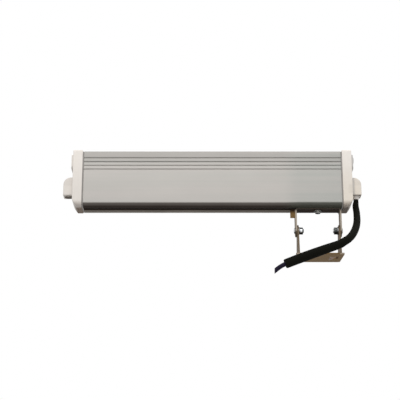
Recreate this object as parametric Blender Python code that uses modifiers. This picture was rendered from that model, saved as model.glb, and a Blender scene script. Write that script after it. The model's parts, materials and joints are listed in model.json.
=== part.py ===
"""A linear floodlight: a long extruded housing with a cast cap at each end, held under its right end
by a two-part tilting bracket, with its supply lead leaving the right cap.

The origin is the centre of the foot's underside. +X runs along the housing to the end with the lead,
-Y is the front and +Z is up. All lengths are in metres.
"""

import math

import bmesh
import bpy
from mathutils import Vector

# Clearances shared by every fit
GAP = 0.0003
OVERRUN = 0.002
SINK = 0.0010
MERGE = 0.00002

# Housing extrusion
HOUSING_LENGTH = 0.5130
HOUSING_RIGHT = 0.0465
HOUSING_DEPTH = 0.0540
HOUSING_HEIGHT = 0.1136
HOUSING_CORNER = 0.0060
WALL = 0.0040
BASE_WALL = 0.0030
BASE_ABOVE_PIVOT = 0.0451
RIM_CHAMFER = 0.0006

# Fine grooves in each side, measured down from the top edge
GROOVE_DEPTHS = (0.0140, 0.0220, 0.0300, 0.0380)
GROOVE_WIDTH = 0.0022
GROOVE_DEEP = 0.0020

# Light trough and the window that closes it
LIP_REACH = 0.0008
LIP_THICK = 0.0012
BAR_WIDTH = 0.0080
BAR_THICK = 0.0020
GLASS_THICK = 0.0040
SEAL_THICK = 0.0015
LEDGE_WIDTH = 0.0040
SHELF_BELOW_TOP = 0.0220
SHELF_THICK = 0.0040
WINDOW_END_SPACE = 0.0010

# Slot and guide ribs in the base
SLOT_MOUTH = 0.0090
SLOT_WIDTH = 0.0150
SLOT_HEIGHT = 0.0070
SLOT_WALL = 0.0025
RIB_WIDTH = 0.0025
RIB_HEIGHT = 0.0015

# Screw ports for the caps, and the groove above the lower ones that holds the tray
PORT_UPPER_Y = 0.0220
PORT_UPPER_BELOW_TOP = 0.0160
PORT_LOWER_Y = 0.0200
PORT_LOWER_ABOVE_BASE = 0.0240
PORT_BOSS_HEIGHT = 0.0090
PORT_BOSS_REACH = 0.0070
TRAY_THICK = 0.0020
TRAY_RIB_REACH = 0.0030
TRAY_RIB_THICK = 0.0020
TRAY_END_SPACE = 0.0005

# End caps
CAP_THICK = 0.0193
CAP_PROUD_TOP = 0.0040
CAP_PROUD_SIDE = 0.0010
CAP_CHAMFER_ALONG = 0.0080
CAP_CHAMFER_UP = 0.0120
CAP_CORNER_LOW = 0.0070
CAP_CORNER_TOP = 0.0040
CAP_EDGE_ROUND = 0.0020
CAP_WALL = 0.0030
POCKET_HALF_DEPTH = 0.0140
POCKET_ABOVE_BASE = 0.0200
POCKET_BELOW_TOP = 0.0060
CAP_GASKET_THICK = 0.0020
GASKET_OPENING_ABOVE_BASE = 0.0150
PAD_PROUD = 0.0045
PAD_HALF_DEPTH = 0.0150
PAD_BELOW_TOP = 0.0020
PAD_HEIGHT = 0.0310
PAD_ROUND = 0.0010

# Elbow boss on each cap, and the cable entry in its underside
BOSS_ABOVE_BASE = 0.0259
BOSS_HEIGHT = 0.0380
BOSS_REACH = 0.0195
BOSS_HALF_DEPTH = 0.0125
BOSS_CORNER = 0.0150
BOSS_ROUND = 0.0025
ENTRY_FROM_SEAM = 0.0280
ENTRY_RADIUS = 0.0085
ENTRY_HIGH = 0.0156
ELBOW_RADIUS = 0.0065
ELBOW_HIGH = 0.0250

# Screws: shank radius, hole radius, head radius, head height
M3_SHANK = 0.0015
M3_HOLE = 0.0018
M3_HEAD = 0.0028
M3_HEAD_HIGH = 0.0016
M4_SHANK = 0.0020
M4_HOLE = 0.0023
M4_HEAD = 0.0040
M4_HEAD_HIGH = 0.0026
SOCKET_SHARE = 0.45
SCREW_SINK_SHARE = 0.6
COUNTERBORE_RADIUS = 0.0044
COUNTERBORE_DEEP = 0.0040
CAP_SCREW_BITE = 0.0160

# Vent on the right cap
VENT_BELOW_TOP = 0.0105
VENT_RADIUS = 0.0080
VENT_PROUD = 0.0018
VENT_STEM = 0.0040

# Blanking plug in the left entry
PLUG_PROUD = 0.0015
PLUG_EDGE = 0.0010
PLUG_SEAL_THICK = 0.0012

# Gland in the right entry: a threaded ring whose tapered nozzle stands out below
RING_INSET = 0.0005
RING_HIGH = 0.0065
NOZZLE_HIGH = 0.0060
NOZZLE_ROOT_RADIUS = 0.0072
NOZZLE_TIP_RADIUS = 0.0055
BUSH_HIGH = 0.0080

# Lead: the free sleeve, with its narrow neck in the gland, and the cable that shows at its end
NECK_RADIUS = 0.0043
CABLE_RADIUS = 0.0043
TAIL_RADIUS = 0.0030
INNER_LEAD_RADIUS = 0.0020
SLEEVE_POINT_SPACE = 0.0120
LEAD_POINT_SPACE = 0.0050

# Each route's points are measured from the entry's centre in the boss's underside. The sleeve's
# have its radius there as a fourth value.
SLEEVE_ROUTE = (
    (0.0001, 0.0000, -0.0085, 0.0049),
    (-0.0004, -0.0003, -0.0120, 0.0055),
    (-0.0013, -0.0010, -0.0190, 0.0062),
    (-0.0005, -0.0065, -0.0355, 0.0066),
    (-0.0030, -0.0240, -0.0600, 0.0070),
    (-0.0088, -0.0400, -0.0797, 0.0073),
    (-0.0173, -0.0540, -0.0964, 0.0075),
    (-0.0264, -0.0630, -0.1074, 0.0077),
    (-0.0345, -0.0660, -0.1132, 0.0080),
    (-0.0432, -0.0670, -0.1187, 0.0083),
    (-0.0712, -0.0670, -0.1288, 0.0089),
    (-0.1022, -0.0670, -0.1402, 0.0093),
    (-0.1253, -0.0670, -0.1490, 0.0093),
    (-0.1488, -0.0670, -0.1583, 0.0091),
)
CABLE_ROUTE = (
    (-0.1496, -0.0670, -0.15862),
    (-0.1590, -0.0670, -0.1640),
    (-0.1695, -0.0670, -0.1722),
)
TAIL_ROUTE = (
    (0.0000, 0.0000, 0.0160),
    (-0.0010, 0.0000, 0.0205),
    (-0.0040, 0.0000, 0.0238),
    (-0.0085, 0.0000, 0.0253),
    (-0.0170, 0.0000, 0.0240),
    (-0.0250, 0.0000, 0.0190),
    (-0.0330, 0.0000, 0.0145),
)

# Light boards in the trough
BOARD_END_SPACE = 0.0100
BOARD_HALF_DEPTH = 0.0180
BOARD_THICK = 0.0016
BOARD_SPACE = 0.0030
DIODE_SIZE = 0.0035
DIODE_HIGH = 0.0008
DIODE_COUNT = 12
DIODE_FROM_LENS_END = 0.0110
LENS_END_SPACE = 0.0125
LENS_HALF_DEPTH = 0.0120
LENS_FOOT = 0.0030
LENS_RECESS = 0.0018
LENS_SIDE = 0.0035
LENS_HIGH = 0.0075
BOARD_SCREW_FROM_END = 0.0060
BOARD_SCREW_LONG = 0.0045
WIRE_HOLE_RADIUS = 0.0030
WIRE_HOLE_X = 0.0160

# Driver and terminals on the tray
DRIVER_LEFT = -0.2050
DRIVER_RIGHT = -0.0350
DRIVER_HALF_DEPTH = 0.0185
DRIVER_HIGH = 0.0300
DRIVER_ROUND = 0.0015
FLANGE_LONG = 0.0100
FLANGE_THICK = 0.0025
DRIVER_SCREW_LONG = 0.0070
TERMINAL_LEFT = 0.0020
TERMINAL_RIGHT = 0.0330
TERMINAL_HALF_DEPTH = 0.0100
TERMINAL_HIGH = 0.0170
TERMINAL_ROUND = 0.0010
TERMINAL_FUNNEL = 0.0034
TERMINAL_FUNNEL_DEEP = 0.0060
TERMINAL_WIRE_HIGH = 0.0085
TERMINAL_SCREW_LONG = 0.0210
DRIVER_WIRE_HIGH = 0.0120
LED_WIRE_HIGH = 0.0220

# Bracket: both yokes and their bolts
PIVOT_HEIGHT = 0.0562
YOKE_OUTSIDE = 0.0458
YOKE_THICK = 0.0030
YOKE_HALF_DEPTH = 0.0125
YOKE_BEND = 0.0060
EAR_REACH = 0.0100
EAR_THICK = 0.0030
EAR_HEIGHT = 0.0178
EAR_BELOW_BASE = 0.0036
FOOT_HALF_LENGTH = 0.0475
FOOT_HALF_DEPTH = 0.0280
FOOT_THICK = 0.0030
FOOT_CORNER = 0.0030
FOOT_TAPER = 0.0042
ARM_THICK = 0.0030
ARM_ROOT_HALF_DEPTH = 0.0260
ARM_END_RADIUS = 0.0115
FOOT_SLOT_X = 0.0270
FOOT_SLOT_WIDTH = 0.0090
FOOT_SLOT_LENGTH = 0.0160
SHEET_ROUND = 0.0004
M8_SHANK = 0.0040
M8_HOLE = 0.0043
M8_WASHER = 0.0080
M8_WASHER_THICK = 0.0016
M8_HEX_ACROSS_FLATS = 0.0130
M8_NUT_HIGH = 0.0065
M8_DOME_RADIUS = 0.0065
M8_DOME_HIGH = 0.0027
BOLT_PAST_NUT = 0.0015
WEB_BOLT_FLANGE = 0.0082
WEB_BOLT_FLANGE_THICK = 0.0013
WEB_BOLT_ACROSS_FLATS = 0.0100
WEB_BOLT_HEX_HIGH = 0.0039
NUT_LENGTH = 0.0200
NUT_HALF_DEPTH = 0.0070
NUT_THICK = 0.0060

# Numbers of sides of round shapes
ROUND_SIDES = 20
SMALL_SIDES = 12
ARC_STEPS = 5
SMOOTH_ANGLE = math.radians(35)
RIB_RUN_OUT = math.radians(-72)
HALF_TURN = math.pi
QUARTER_TURN = math.pi / 2

# Levels and ends that follow from the sizes above
BASE_Z = PIVOT_HEIGHT + BASE_ABOVE_PIVOT
TOP_Z = BASE_Z + HOUSING_HEIGHT
HOUSING_LEFT = HOUSING_RIGHT - HOUSING_LENGTH
HOUSING_MIDDLE = HOUSING_RIGHT - HOUSING_LENGTH / 2
BOARD_LENGTH = (HOUSING_LENGTH - BOARD_SPACE) / 2 - BOARD_END_SPACE
LENS_LENGTH = BOARD_LENGTH - 2 * LENS_END_SPACE
DIODE_STEP = (LENS_LENGTH - 2 * DIODE_FROM_LENS_END) / (DIODE_COUNT - 1)
HALF_DEPTH = HOUSING_DEPTH / 2
RIM_INSIDE = HALF_DEPTH - WALL
LEDGE_INSIDE = RIM_INSIDE - LEDGE_WIDTH
LEDGE_Z = TOP_Z - LIP_THICK - BAR_THICK - GLASS_THICK - SEAL_THICK - 4 * GAP
SHELF_TOP_Z = TOP_Z - SHELF_BELOW_TOP
SHELF_UNDER_Z = SHELF_TOP_Z - SHELF_THICK
TRAY_GROOVE_Z = BASE_Z + PORT_LOWER_ABOVE_BASE + PORT_BOSS_HEIGHT / 2
TRAY_TOP_Z = TRAY_GROOVE_Z + GAP + TRAY_THICK
CAP_SEAM = CAP_GASKET_THICK + 2 * GAP
BOSS_UNDER_Z = BASE_Z + BOSS_ABOVE_BASE
PORT_UPPER_Z = TOP_Z - PORT_UPPER_BELOW_TOP
PORT_LOWER_Z = BASE_Z + PORT_LOWER_ABOVE_BASE
PORTS = (
    ("front_top", -PORT_UPPER_Y, PORT_UPPER_Z),
    ("back_top", PORT_UPPER_Y, PORT_UPPER_Z),
    ("front_low", -PORT_LOWER_Y, PORT_LOWER_Z),
    ("back_low", PORT_LOWER_Y, PORT_LOWER_Z),
)
WEB_TOP_Z = BASE_Z - GAP
WEB_UNDER_Z = WEB_TOP_Z - YOKE_THICK
RIB_INSIDE = YOKE_HALF_DEPTH + GAP
LOWER_ARM_OUTSIDE = YOKE_OUTSIDE - YOKE_THICK - GAP
LOWER_ARM_INSIDE = LOWER_ARM_OUTSIDE - ARM_THICK
ENTRY_RIGHT_X = HOUSING_RIGHT + ENTRY_FROM_SEAM + CAP_SEAM


def clear_scene():
    """Removes the objects that the scene starts with."""
    for shape in list(bpy.data.objects):
        bpy.data.objects.remove(shape, do_unlink=True)


def new_collection(name):
    """A collection of this name in the scene."""
    found = bpy.data.collections.new(name)
    bpy.context.scene.collection.children.link(found)
    return found


clear_scene()
PARTS = new_collection("linear_floodlight")
CUTTERS = new_collection("cutters")


def mesh_object(name, shape, place):
    """An object of this name at this place, from a bmesh built about its own centre."""
    mesh = bpy.data.meshes.new(name)
    bmesh.ops.recalc_face_normals(shape, faces=shape.faces)
    shape.to_mesh(mesh)
    shape.free()
    made = bpy.data.objects.new(name, mesh)
    made.location = place
    PARTS.objects.link(made)
    return made


def cuboid(name, low, high):
    """A box between two opposite corners."""
    shape = bmesh.new()
    bmesh.ops.create_cube(shape, size=1)
    size = [top - bottom for bottom, top in zip(low, high)]
    bmesh.ops.scale(shape, vec=size, verts=shape.verts)
    return mesh_object(name, shape, [(top + bottom) / 2 for bottom, top in zip(low, high)])


def along(direction):
    """The rotation that turns +Z to this direction."""
    return Vector(direction).to_track_quat("Z", "Y").to_euler()


def rod(name, start, end, radius, sides):
    """A straight bar of this many sides between two points."""
    start = Vector(start)
    end = Vector(end)
    shape = bmesh.new()
    bmesh.ops.create_cone(
        shape,
        cap_ends=True,
        segments=sides,
        radius1=radius,
        radius2=radius,
        depth=(end - start).length,
    )
    made = mesh_object(name, shape, (start + end) / 2)
    made.rotation_euler = along(end - start)
    return made


def evaluated_mesh(shape):
    """The mesh of an object with its modifiers applied, welded and facing out."""
    bpy.context.view_layer.update()
    graph = bpy.context.evaluated_depsgraph_get()
    mesh = bpy.data.meshes.new_from_object(shape.evaluated_get(graph))
    welded = bmesh.new()
    welded.from_mesh(mesh)
    bmesh.ops.remove_doubles(welded, verts=welded.verts, dist=MERGE)
    bmesh.ops.recalc_face_normals(welded, faces=welded.faces)
    welded.to_mesh(mesh)
    welded.free()
    return mesh


def as_mesh(shape):
    """A mesh object in place of a curve, with the curve's name and place."""
    name = shape.name
    mesh = evaluated_mesh(shape)
    turn = shape.matrix_world.copy()
    bpy.data.objects.remove(shape, do_unlink=True)
    mesh.name = name
    made = bpy.data.objects.new(name, mesh)
    made.matrix_world = turn
    PARTS.objects.link(made)
    return made


def extruded(name, loops, axis, start, end):
    """Flat outlines extruded along an axis: the first loop is the border and the others are holes.

    Points are (y, z) along X, (x, z) along Y and (x, y) along Z.
    """
    curve = bpy.data.curves.new(name, "CURVE")
    curve.dimensions = "2D"
    curve.fill_mode = "BOTH"
    curve.extrude = (end - start) / 2
    for loop in loops:
        spline = curve.splines.new("POLY")
        spline.points.add(len(loop) - 1)
        for point, (across, up) in zip(spline.points, loop):
            point.co = (across, up, 0, 1)
        spline.use_cyclic_u = True
    shape = bpy.data.objects.new(name, curve)
    middle = (start + end) / 2
    shape.location = [middle if letter == axis else 0 for letter in "XYZ"]
    if axis == "X":
        shape.rotation_euler = (QUARTER_TURN, 0, QUARTER_TURN)
    elif axis == "Y":
        shape.rotation_euler = (QUARTER_TURN, 0, 0)
    PARTS.objects.link(shape)
    return as_mesh(shape)


def turned(name, profile, closed, place, axis, steps):
    """A profile of (radius, height) points turned about an axis through a place."""
    points = [(radius, 0, height) for radius, height in profile]
    edges = [(index, index + 1) for index in range(len(points) - 1)]
    if closed:
        edges.append((len(points) - 1, 0))
    mesh = bpy.data.meshes.new(name)
    mesh.from_pydata(points, edges, [])
    made = bpy.data.objects.new(name, mesh)
    made.location = place
    made.rotation_euler = along(axis)
    PARTS.objects.link(made)
    screw = made.modifiers.new("turn", "SCREW")
    screw.steps = steps
    screw.render_steps = steps
    screw.use_merge_vertices = True
    screw.merge_threshold = MERGE
    screw.use_smooth_shade = True
    made.data = evaluated_mesh(made)
    made.modifiers.clear()
    return made


def ring(name, inside, outside, thick, place, axis, steps):
    """A flat ring that starts at a place and is this thick along the axis."""
    profile = ((outside, thick), (outside, 0), (inside, 0), (inside, thick))
    return turned(name, profile, True, place, axis, steps)


def smooth_route(points, space):
    """Evenly shared points on a smooth curve through these points, about this far apart."""
    points = [Vector(point) for point in points]
    marks = [0]
    for first, second in zip(points, points[1:]):
        marks.append(marks[-1] + (second - first).length)
    slopes = []
    for index in range(len(points)):
        before = max(index - 1, 0)
        after = min(index + 1, len(points) - 1)
        slopes.append((points[after] - points[before]) / (marks[after] - marks[before]))
    route = []
    for index in range(len(points) - 1):
        long = marks[index + 1] - marks[index]
        count = max(round(long / space), 1)
        for step in range(count):
            t = step / count
            route.append(
                (2 * t**3 - 3 * t**2 + 1) * points[index]
                + (t**3 - 2 * t**2 + t) * long * slopes[index]
                + (3 * t**2 - 2 * t**3) * points[index + 1]
                + (t**3 - t**2) * long * slopes[index + 1]
            )
    route.append(points[-1])
    return route


def tube(name, route, radius, space):
    """A round bar along a smooth route, with closed ends.

    Where a point has a fourth value, that is the bar's radius there.
    """
    curve = bpy.data.curves.new(name, "CURVE")
    curve.dimensions = "3D"
    curve.bevel_depth = radius
    curve.bevel_resolution = 2
    curve.use_fill_caps = True
    points = smooth_route(route, space)
    spline = curve.splines.new("POLY")
    spline.points.add(len(points) - 1)
    for point, place in zip(spline.points, points):
        point.co = (*place[:3], 1)
        point.radius = place[3] / radius if len(place) > 3 else 1
    shape = bpy.data.objects.new(name, curve)
    PARTS.objects.link(shape)
    made = as_mesh(shape)
    made.data.shade_smooth()
    return made


def joined(name, shapes):
    """One cutter from several that don't touch each other."""
    bpy.context.view_layer.update()
    shape = bmesh.new()
    for other in shapes:
        mesh = evaluated_mesh(other)
        mesh.transform(other.matrix_world)
        shape.from_mesh(mesh)
        bpy.data.objects.remove(other, do_unlink=True)
    return mesh_object(name, shape, (0, 0, 0))


def combine(target, other, operation):
    """Joins, cuts or intersects an object with another, which becomes a hidden helper."""
    change = target.modifiers.new(other.name, "BOOLEAN")
    change.operation = operation
    change.solver = "EXACT"
    change.object = other
    PARTS.objects.unlink(other)
    CUTTERS.objects.link(other)
    other.hide_render = True
    other.display_type = "WIRE"
    return target


def cut(target, other):
    """Takes another shape away from the target."""
    return combine(target, other, "DIFFERENCE")


def join(target, other):
    """Adds another shape to the target."""
    return combine(target, other, "UNION")


def rounded(target, width, segments):
    """Rounds the target's sharp edges."""
    bevel = target.modifiers.new("rounded edges", "BEVEL")
    bevel.width = width
    bevel.segments = segments
    bevel.limit_method = "ANGLE"
    bevel.angle_limit = SMOOTH_ANGLE
    bevel.use_clamp_overlap = True
    return target


def round_shaded(target):
    """Shades a round shape smooth and keeps its sharp edges."""
    target.data.shade_smooth()
    target.data.set_sharp_from_angle(angle=SMOOTH_ANGLE)
    return target


def copy_of(source, name, place):
    """Another object with the same mesh, at its own place."""
    made = bpy.data.objects.new(name, source.data)
    made.location = place
    made.rotation_euler = source.rotation_euler
    PARTS.objects.link(made)
    return made


def frame_at(name, place, parent):
    """An empty that a body's pieces hang on."""
    made = bpy.data.objects.new(name, None)
    PARTS.objects.link(made)
    made.location = place
    made.parent = parent
    if parent:
        made.location = Vector(place) - parent.matrix_world.translation
    bpy.context.view_layer.update()
    return made


def hang(group, shapes):
    """Parents the pieces, and the helpers of their modifiers, to a body's frame."""
    home = group.matrix_world.translation
    for shape in shapes:
        if shape.parent:
            continue
        shape.parent = group
        shape.location = shape.location - home
        helpers = [step.object for step in shape.modifiers if step.type == "BOOLEAN"]
        hang(group, helpers)


def arc(centre, radius, start, end, steps):
    """Points of a circle's arc, from one angle to another."""
    points = []
    for step in range(steps + 1):
        angle = start + (end - start) * step / steps
        points.append((centre[0] + radius * math.cos(angle), centre[1] + radius * math.sin(angle)))
    return points


def circle(centre, radius, sides):
    """Points of a whole circle."""
    return arc(centre, radius, 0, 2 * HALF_TURN * (sides - 1) / sides, sides - 1)


def mirrored(half):
    """A closed outline from its half with positive y, given from bottom to top."""
    return list(half) + [(-across, up) for across, up in reversed(half)]


def box_outline(low_across, low_up, high_across, high_up, low_round, high_round):
    """A rectangle whose lower and upper corners have their own radii."""
    right = high_across - low_round
    left = low_across + low_round
    upper_right = high_across - high_round
    upper_left = low_across + high_round
    low = low_up + low_round
    high = high_up - high_round
    points = arc((right, low), low_round, -QUARTER_TURN, 0, ARC_STEPS)
    points += arc((upper_right, high), high_round, 0, QUARTER_TURN, ARC_STEPS)
    points += arc((upper_left, high), high_round, QUARTER_TURN, HALF_TURN, ARC_STEPS)
    points += arc((left, low), low_round, HALF_TURN, 3 * QUARTER_TURN, ARC_STEPS)
    return points


def material(name, colour, roughness, metallic):
    """A plain surface of this colour."""
    made = bpy.data.materials.new(name)
    made.use_nodes = True
    shader = made.node_tree.nodes["Principled BSDF"]
    shader.inputs["Base Color"].default_value = (*colour, 1)
    shader.inputs["Roughness"].default_value = roughness
    shader.inputs["Metallic"].default_value = metallic
    made.diffuse_color = (*colour, 1)
    return made


def satin_aluminium():
    """Anodised extrusion."""
    return material("satin_aluminium", (0.50, 0.49, 0.47), 0.42, 0.9)


def cast_paint():
    """Off-white painted casting."""
    return material("cast_paint", (0.78, 0.74, 0.69), 0.5, 0.0)


def dark_rubber():
    """Seals and bushes."""
    return material("dark_rubber", (0.025, 0.024, 0.023), 0.75, 0.0)


def black_sleeve():
    """Outer sleeve of the lead."""
    return material("black_sleeve", (0.013, 0.013, 0.011), 0.6, 0.0)


def navy_sheath():
    """Sheath of the supply cable."""
    return material("navy_sheath", (0.012, 0.010, 0.025), 0.5, 0.0)


def bracket_steel():
    """Bracket sheet with a brown tone."""
    return material("bracket_steel", (0.26, 0.22, 0.18), 0.45, 0.9)


def bright_steel():
    """Bolts, nuts and washers."""
    return material("bright_steel", (0.42, 0.42, 0.41), 0.3, 1.0)


def clear_glass():
    """Window pane."""
    return material("clear_glass", (0.85, 0.90, 0.88), 0.05, 0.0)


def clear_lens():
    """Moulded optics."""
    return material("clear_lens", (0.88, 0.89, 0.87), 0.1, 0.0)


def board_white():
    """Solder mask of the light boards."""
    return material("board_white", (0.80, 0.80, 0.78), 0.4, 0.0)


def driver_shell():
    """Driver housing."""
    return material("driver_shell", (0.55, 0.56, 0.56), 0.4, 0.6)


def tray_zinc():
    """Zinc plated sheet."""
    return material("tray_zinc", (0.45, 0.45, 0.44), 0.4, 0.9)


def terminal_plastic():
    """Terminal block."""
    return material("terminal_plastic", (0.62, 0.60, 0.55), 0.5, 0.0)


def dark_plastic():
    """Plug, vent and gland ring."""
    return material("dark_plastic", (0.035, 0.032, 0.030), 0.5, 0.0)


def dressed(shape, surface):
    """Gives an object its material."""
    shape.data.materials.clear()
    shape.data.materials.append(surface)
    return shape


def side_grooves():
    """The outer side from the rib's run-out to the top edge, with its fine grooves."""
    points = arc(
        (HALF_DEPTH - HOUSING_CORNER, BASE_Z + HOUSING_CORNER),
        HOUSING_CORNER,
        RIB_RUN_OUT,
        0,
        ARC_STEPS,
    )
    for depth in reversed(GROOVE_DEPTHS):
        low = TOP_Z - depth - GROOVE_WIDTH / 2
        high = TOP_Z - depth + GROOVE_WIDTH / 2
        points.append((HALF_DEPTH, low))
        points.append((HALF_DEPTH - GROOVE_DEEP, low))
        points.append((HALF_DEPTH - GROOVE_DEEP, high))
        points.append((HALF_DEPTH, high))
    points.append((HALF_DEPTH, TOP_Z - RIM_CHAMFER))
    points.append((HALF_DEPTH - RIM_CHAMFER, TOP_Z))
    return points


def housing_border():
    """The outline of the section: slot, rib, side, rim and trough."""
    slot_roof = BASE_Z + BASE_WALL + SLOT_HEIGHT
    half = [
        (SLOT_WIDTH / 2, slot_roof),
        (SLOT_WIDTH / 2, BASE_Z + BASE_WALL),
        (SLOT_MOUTH / 2, BASE_Z + BASE_WALL),
        (SLOT_MOUTH / 2, BASE_Z),
        (RIB_INSIDE, BASE_Z),
        (RIB_INSIDE, BASE_Z - RIB_HEIGHT),
        (RIB_INSIDE + RIB_WIDTH, BASE_Z - RIB_HEIGHT),
    ]
    half += side_grooves()
    half += [
        (RIM_INSIDE - LIP_REACH, TOP_Z),
        (RIM_INSIDE - LIP_REACH, TOP_Z - LIP_THICK),
        (RIM_INSIDE, TOP_Z - LIP_THICK),
        (RIM_INSIDE, LEDGE_Z),
        (LEDGE_INSIDE, LEDGE_Z),
        (LEDGE_INSIDE, SHELF_TOP_Z),
    ]
    return mirrored(half)


def chamber_loop():
    """The outline of the chamber under the shelf, with the port bosses and the tray's grooves."""
    block_top = BASE_Z + BASE_WALL + SLOT_HEIGHT + SLOT_WALL
    block_side = SLOT_WIDTH / 2 + SLOT_WALL
    boss_low = PORT_LOWER_Z - PORT_BOSS_HEIGHT / 2
    boss_inside = RIM_INSIDE - PORT_BOSS_REACH
    rib_low = TRAY_GROOVE_Z + TRAY_THICK + 2 * GAP
    rib_inside = RIM_INSIDE - TRAY_RIB_REACH
    half = [
        (block_side, block_top),
        (block_side, BASE_Z + BASE_WALL),
        (RIM_INSIDE, BASE_Z + BASE_WALL),
        (RIM_INSIDE, boss_low),
        (boss_inside, boss_low),
        (boss_inside, TRAY_GROOVE_Z),
        (RIM_INSIDE, TRAY_GROOVE_Z),
        (RIM_INSIDE, rib_low),
        (rib_inside, rib_low),
        (rib_inside, rib_low + TRAY_RIB_THICK),
        (RIM_INSIDE, rib_low + TRAY_RIB_THICK),
        (RIM_INSIDE, SHELF_UNDER_Z),
    ]
    return mirrored(half)


def board_centre(index):
    """X of a light board's centre: 0 is the right board and 1 the left."""
    offset = (BOARD_LENGTH + BOARD_SPACE) / 2
    return HOUSING_MIDDLE + (offset if index == 0 else -offset)


def board_screw_places():
    """Where the board screws stand: two a board, near its ends."""
    reach = BOARD_LENGTH / 2 - BOARD_SCREW_FROM_END
    return [board_centre(index) + side * reach for index in (0, 1) for side in (-1, 1)]


def housing():
    """The extrusion, with the wire hole and the board screws' holes in its shelf."""
    ports = [circle((y, z), M4_HOLE, SMALL_SIDES) for name, y, z in PORTS]
    made = extruded(
        "housing",
        [housing_border(), chamber_loop(), *ports],
        "X",
        HOUSING_LEFT,
        HOUSING_RIGHT,
    )
    holes = [
        rod(
            "shelf_hole",
            (x, 0, SHELF_UNDER_Z - OVERRUN),
            (x, 0, SHELF_TOP_Z + OVERRUN),
            M3_HOLE,
            SMALL_SIDES,
        )
        for x in board_screw_places()
    ]
    holes.append(
        rod(
            "wire_hole",
            (WIRE_HOLE_X, 0, SHELF_UNDER_Z - OVERRUN),
            (WIRE_HOLE_X, 0, SHELF_TOP_Z + OVERRUN),
            WIRE_HOLE_RADIUS,
            SMALL_SIDES,
        )
    )
    return cut(made, joined("shelf_holes", holes))


def window_low(layers_below):
    """The underside of a window layer, counted up from the ledge."""
    thicknesses = (SEAL_THICK, GLASS_THICK, BAR_THICK)
    return LEDGE_Z + GAP + sum(thick + GAP for thick in thicknesses[:layers_below])


def window_glass():
    """The pane that closes the trough."""
    low = window_low(1)
    side = RIM_INSIDE - GAP
    return cuboid(
        "window_glass",
        (HOUSING_LEFT + WINDOW_END_SPACE, -side, low),
        (HOUSING_RIGHT - WINDOW_END_SPACE, side, low + GLASS_THICK),
    )


def window_seal(name, side):
    """A seal strip on one ledge, under the pane."""
    low = window_low(0)
    edges = sorted((side * (LEDGE_INSIDE + GAP), side * (RIM_INSIDE - GAP)))
    return cuboid(
        name,
        (HOUSING_LEFT + WINDOW_END_SPACE, edges[0], low),
        (HOUSING_RIGHT - WINDOW_END_SPACE, edges[1], low + SEAL_THICK),
    )


def window_bar(name, side):
    """A bar snapped under one lip, which holds the pane down."""
    low = window_low(2)
    edges = sorted((side * (RIM_INSIDE - GAP - BAR_WIDTH), side * (RIM_INSIDE - GAP)))
    return cuboid(
        name,
        (HOUSING_LEFT + WINDOW_END_SPACE, edges[0], low),
        (HOUSING_RIGHT - WINDOW_END_SPACE, edges[1], low + BAR_THICK),
    )


def seam_x(side):
    """X of the housing's end on this side."""
    return HOUSING_RIGHT if side > 0 else HOUSING_LEFT


def from_cap_face(side, distance):
    """X at this distance out from the cap's inner face."""
    return seam_x(side) + side * (CAP_SEAM + distance)


def span(side, near, far):
    """Both X values of a stretch outward from the cap's inner face, in rising order."""
    return sorted((from_cap_face(side, near), from_cap_face(side, far)))


def cap_outline(side):
    """The cap seen from the front, with its chamfered lower corner and rounded upper one."""
    top = TOP_Z + CAP_PROUD_TOP
    turn = arc(
        (CAP_THICK - CAP_EDGE_ROUND, top - CAP_EDGE_ROUND), CAP_EDGE_ROUND, 0, QUARTER_TURN, 4
    )
    points = [
        (0, BASE_Z),
        (CAP_THICK - CAP_CHAMFER_ALONG, BASE_Z),
        (CAP_THICK, BASE_Z + CAP_CHAMFER_UP),
        *turn,
        (0, top),
    ]
    return [(from_cap_face(side, out), up) for out, up in points]


def cap_body(name, side):
    """The cap's block: its front outline cut to the rounded section of its end."""
    half = HALF_DEPTH + CAP_PROUD_SIDE
    made = extruded(name, [cap_outline(side)], "Y", -half - OVERRUN, half + OVERRUN)
    section = box_outline(
        -half, BASE_Z - OVERRUN, half, TOP_Z + CAP_PROUD_TOP, CAP_CORNER_LOW, CAP_CORNER_TOP
    )
    low, high = span(side, -OVERRUN, CAP_THICK + OVERRUN)
    return combine(made, extruded(name + "_section", [section], "X", low, high), "INTERSECT")


def boss_shape(name, side):
    """The elbow boss, rounded at its upper outer corner."""
    reach = CAP_THICK + BOSS_REACH
    top = BOSS_UNDER_Z + BOSS_HEIGHT
    turn = arc((reach - BOSS_CORNER, top - BOSS_CORNER), BOSS_CORNER, 0, QUARTER_TURN, ARC_STEPS)
    points = [
        (CAP_THICK - SINK - BOSS_ROUND, BOSS_UNDER_Z),
        (reach, BOSS_UNDER_Z),
        *turn,
        (CAP_THICK - SINK - BOSS_ROUND, top),
    ]
    outline = [(from_cap_face(side, out), up) for out, up in points]
    made = extruded(name + "_boss", [outline], "Y", -BOSS_HALF_DEPTH, BOSS_HALF_DEPTH)
    return rounded(made, BOSS_ROUND, 2)


def pad_shape(name, side):
    """The low cast pad near the top of the outer face."""
    low, high = span(side, CAP_THICK - SINK - PAD_ROUND, CAP_THICK + PAD_PROUD)
    top = TOP_Z - PAD_BELOW_TOP
    made = cuboid(
        name + "_pad", (low, -PAD_HALF_DEPTH, top - PAD_HEIGHT), (high, PAD_HALF_DEPTH, top)
    )
    return rounded(made, PAD_ROUND, 2)


def pocket_shape(name, side):
    """The hollow in the cap's inner side."""
    low, high = span(side, -OVERRUN, CAP_THICK - CAP_WALL)
    return cuboid(
        name + "_pocket",
        (low, -POCKET_HALF_DEPTH, BASE_Z + POCKET_ABOVE_BASE),
        (high, POCKET_HALF_DEPTH, TOP_Z - POCKET_BELOW_TOP),
    )


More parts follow.
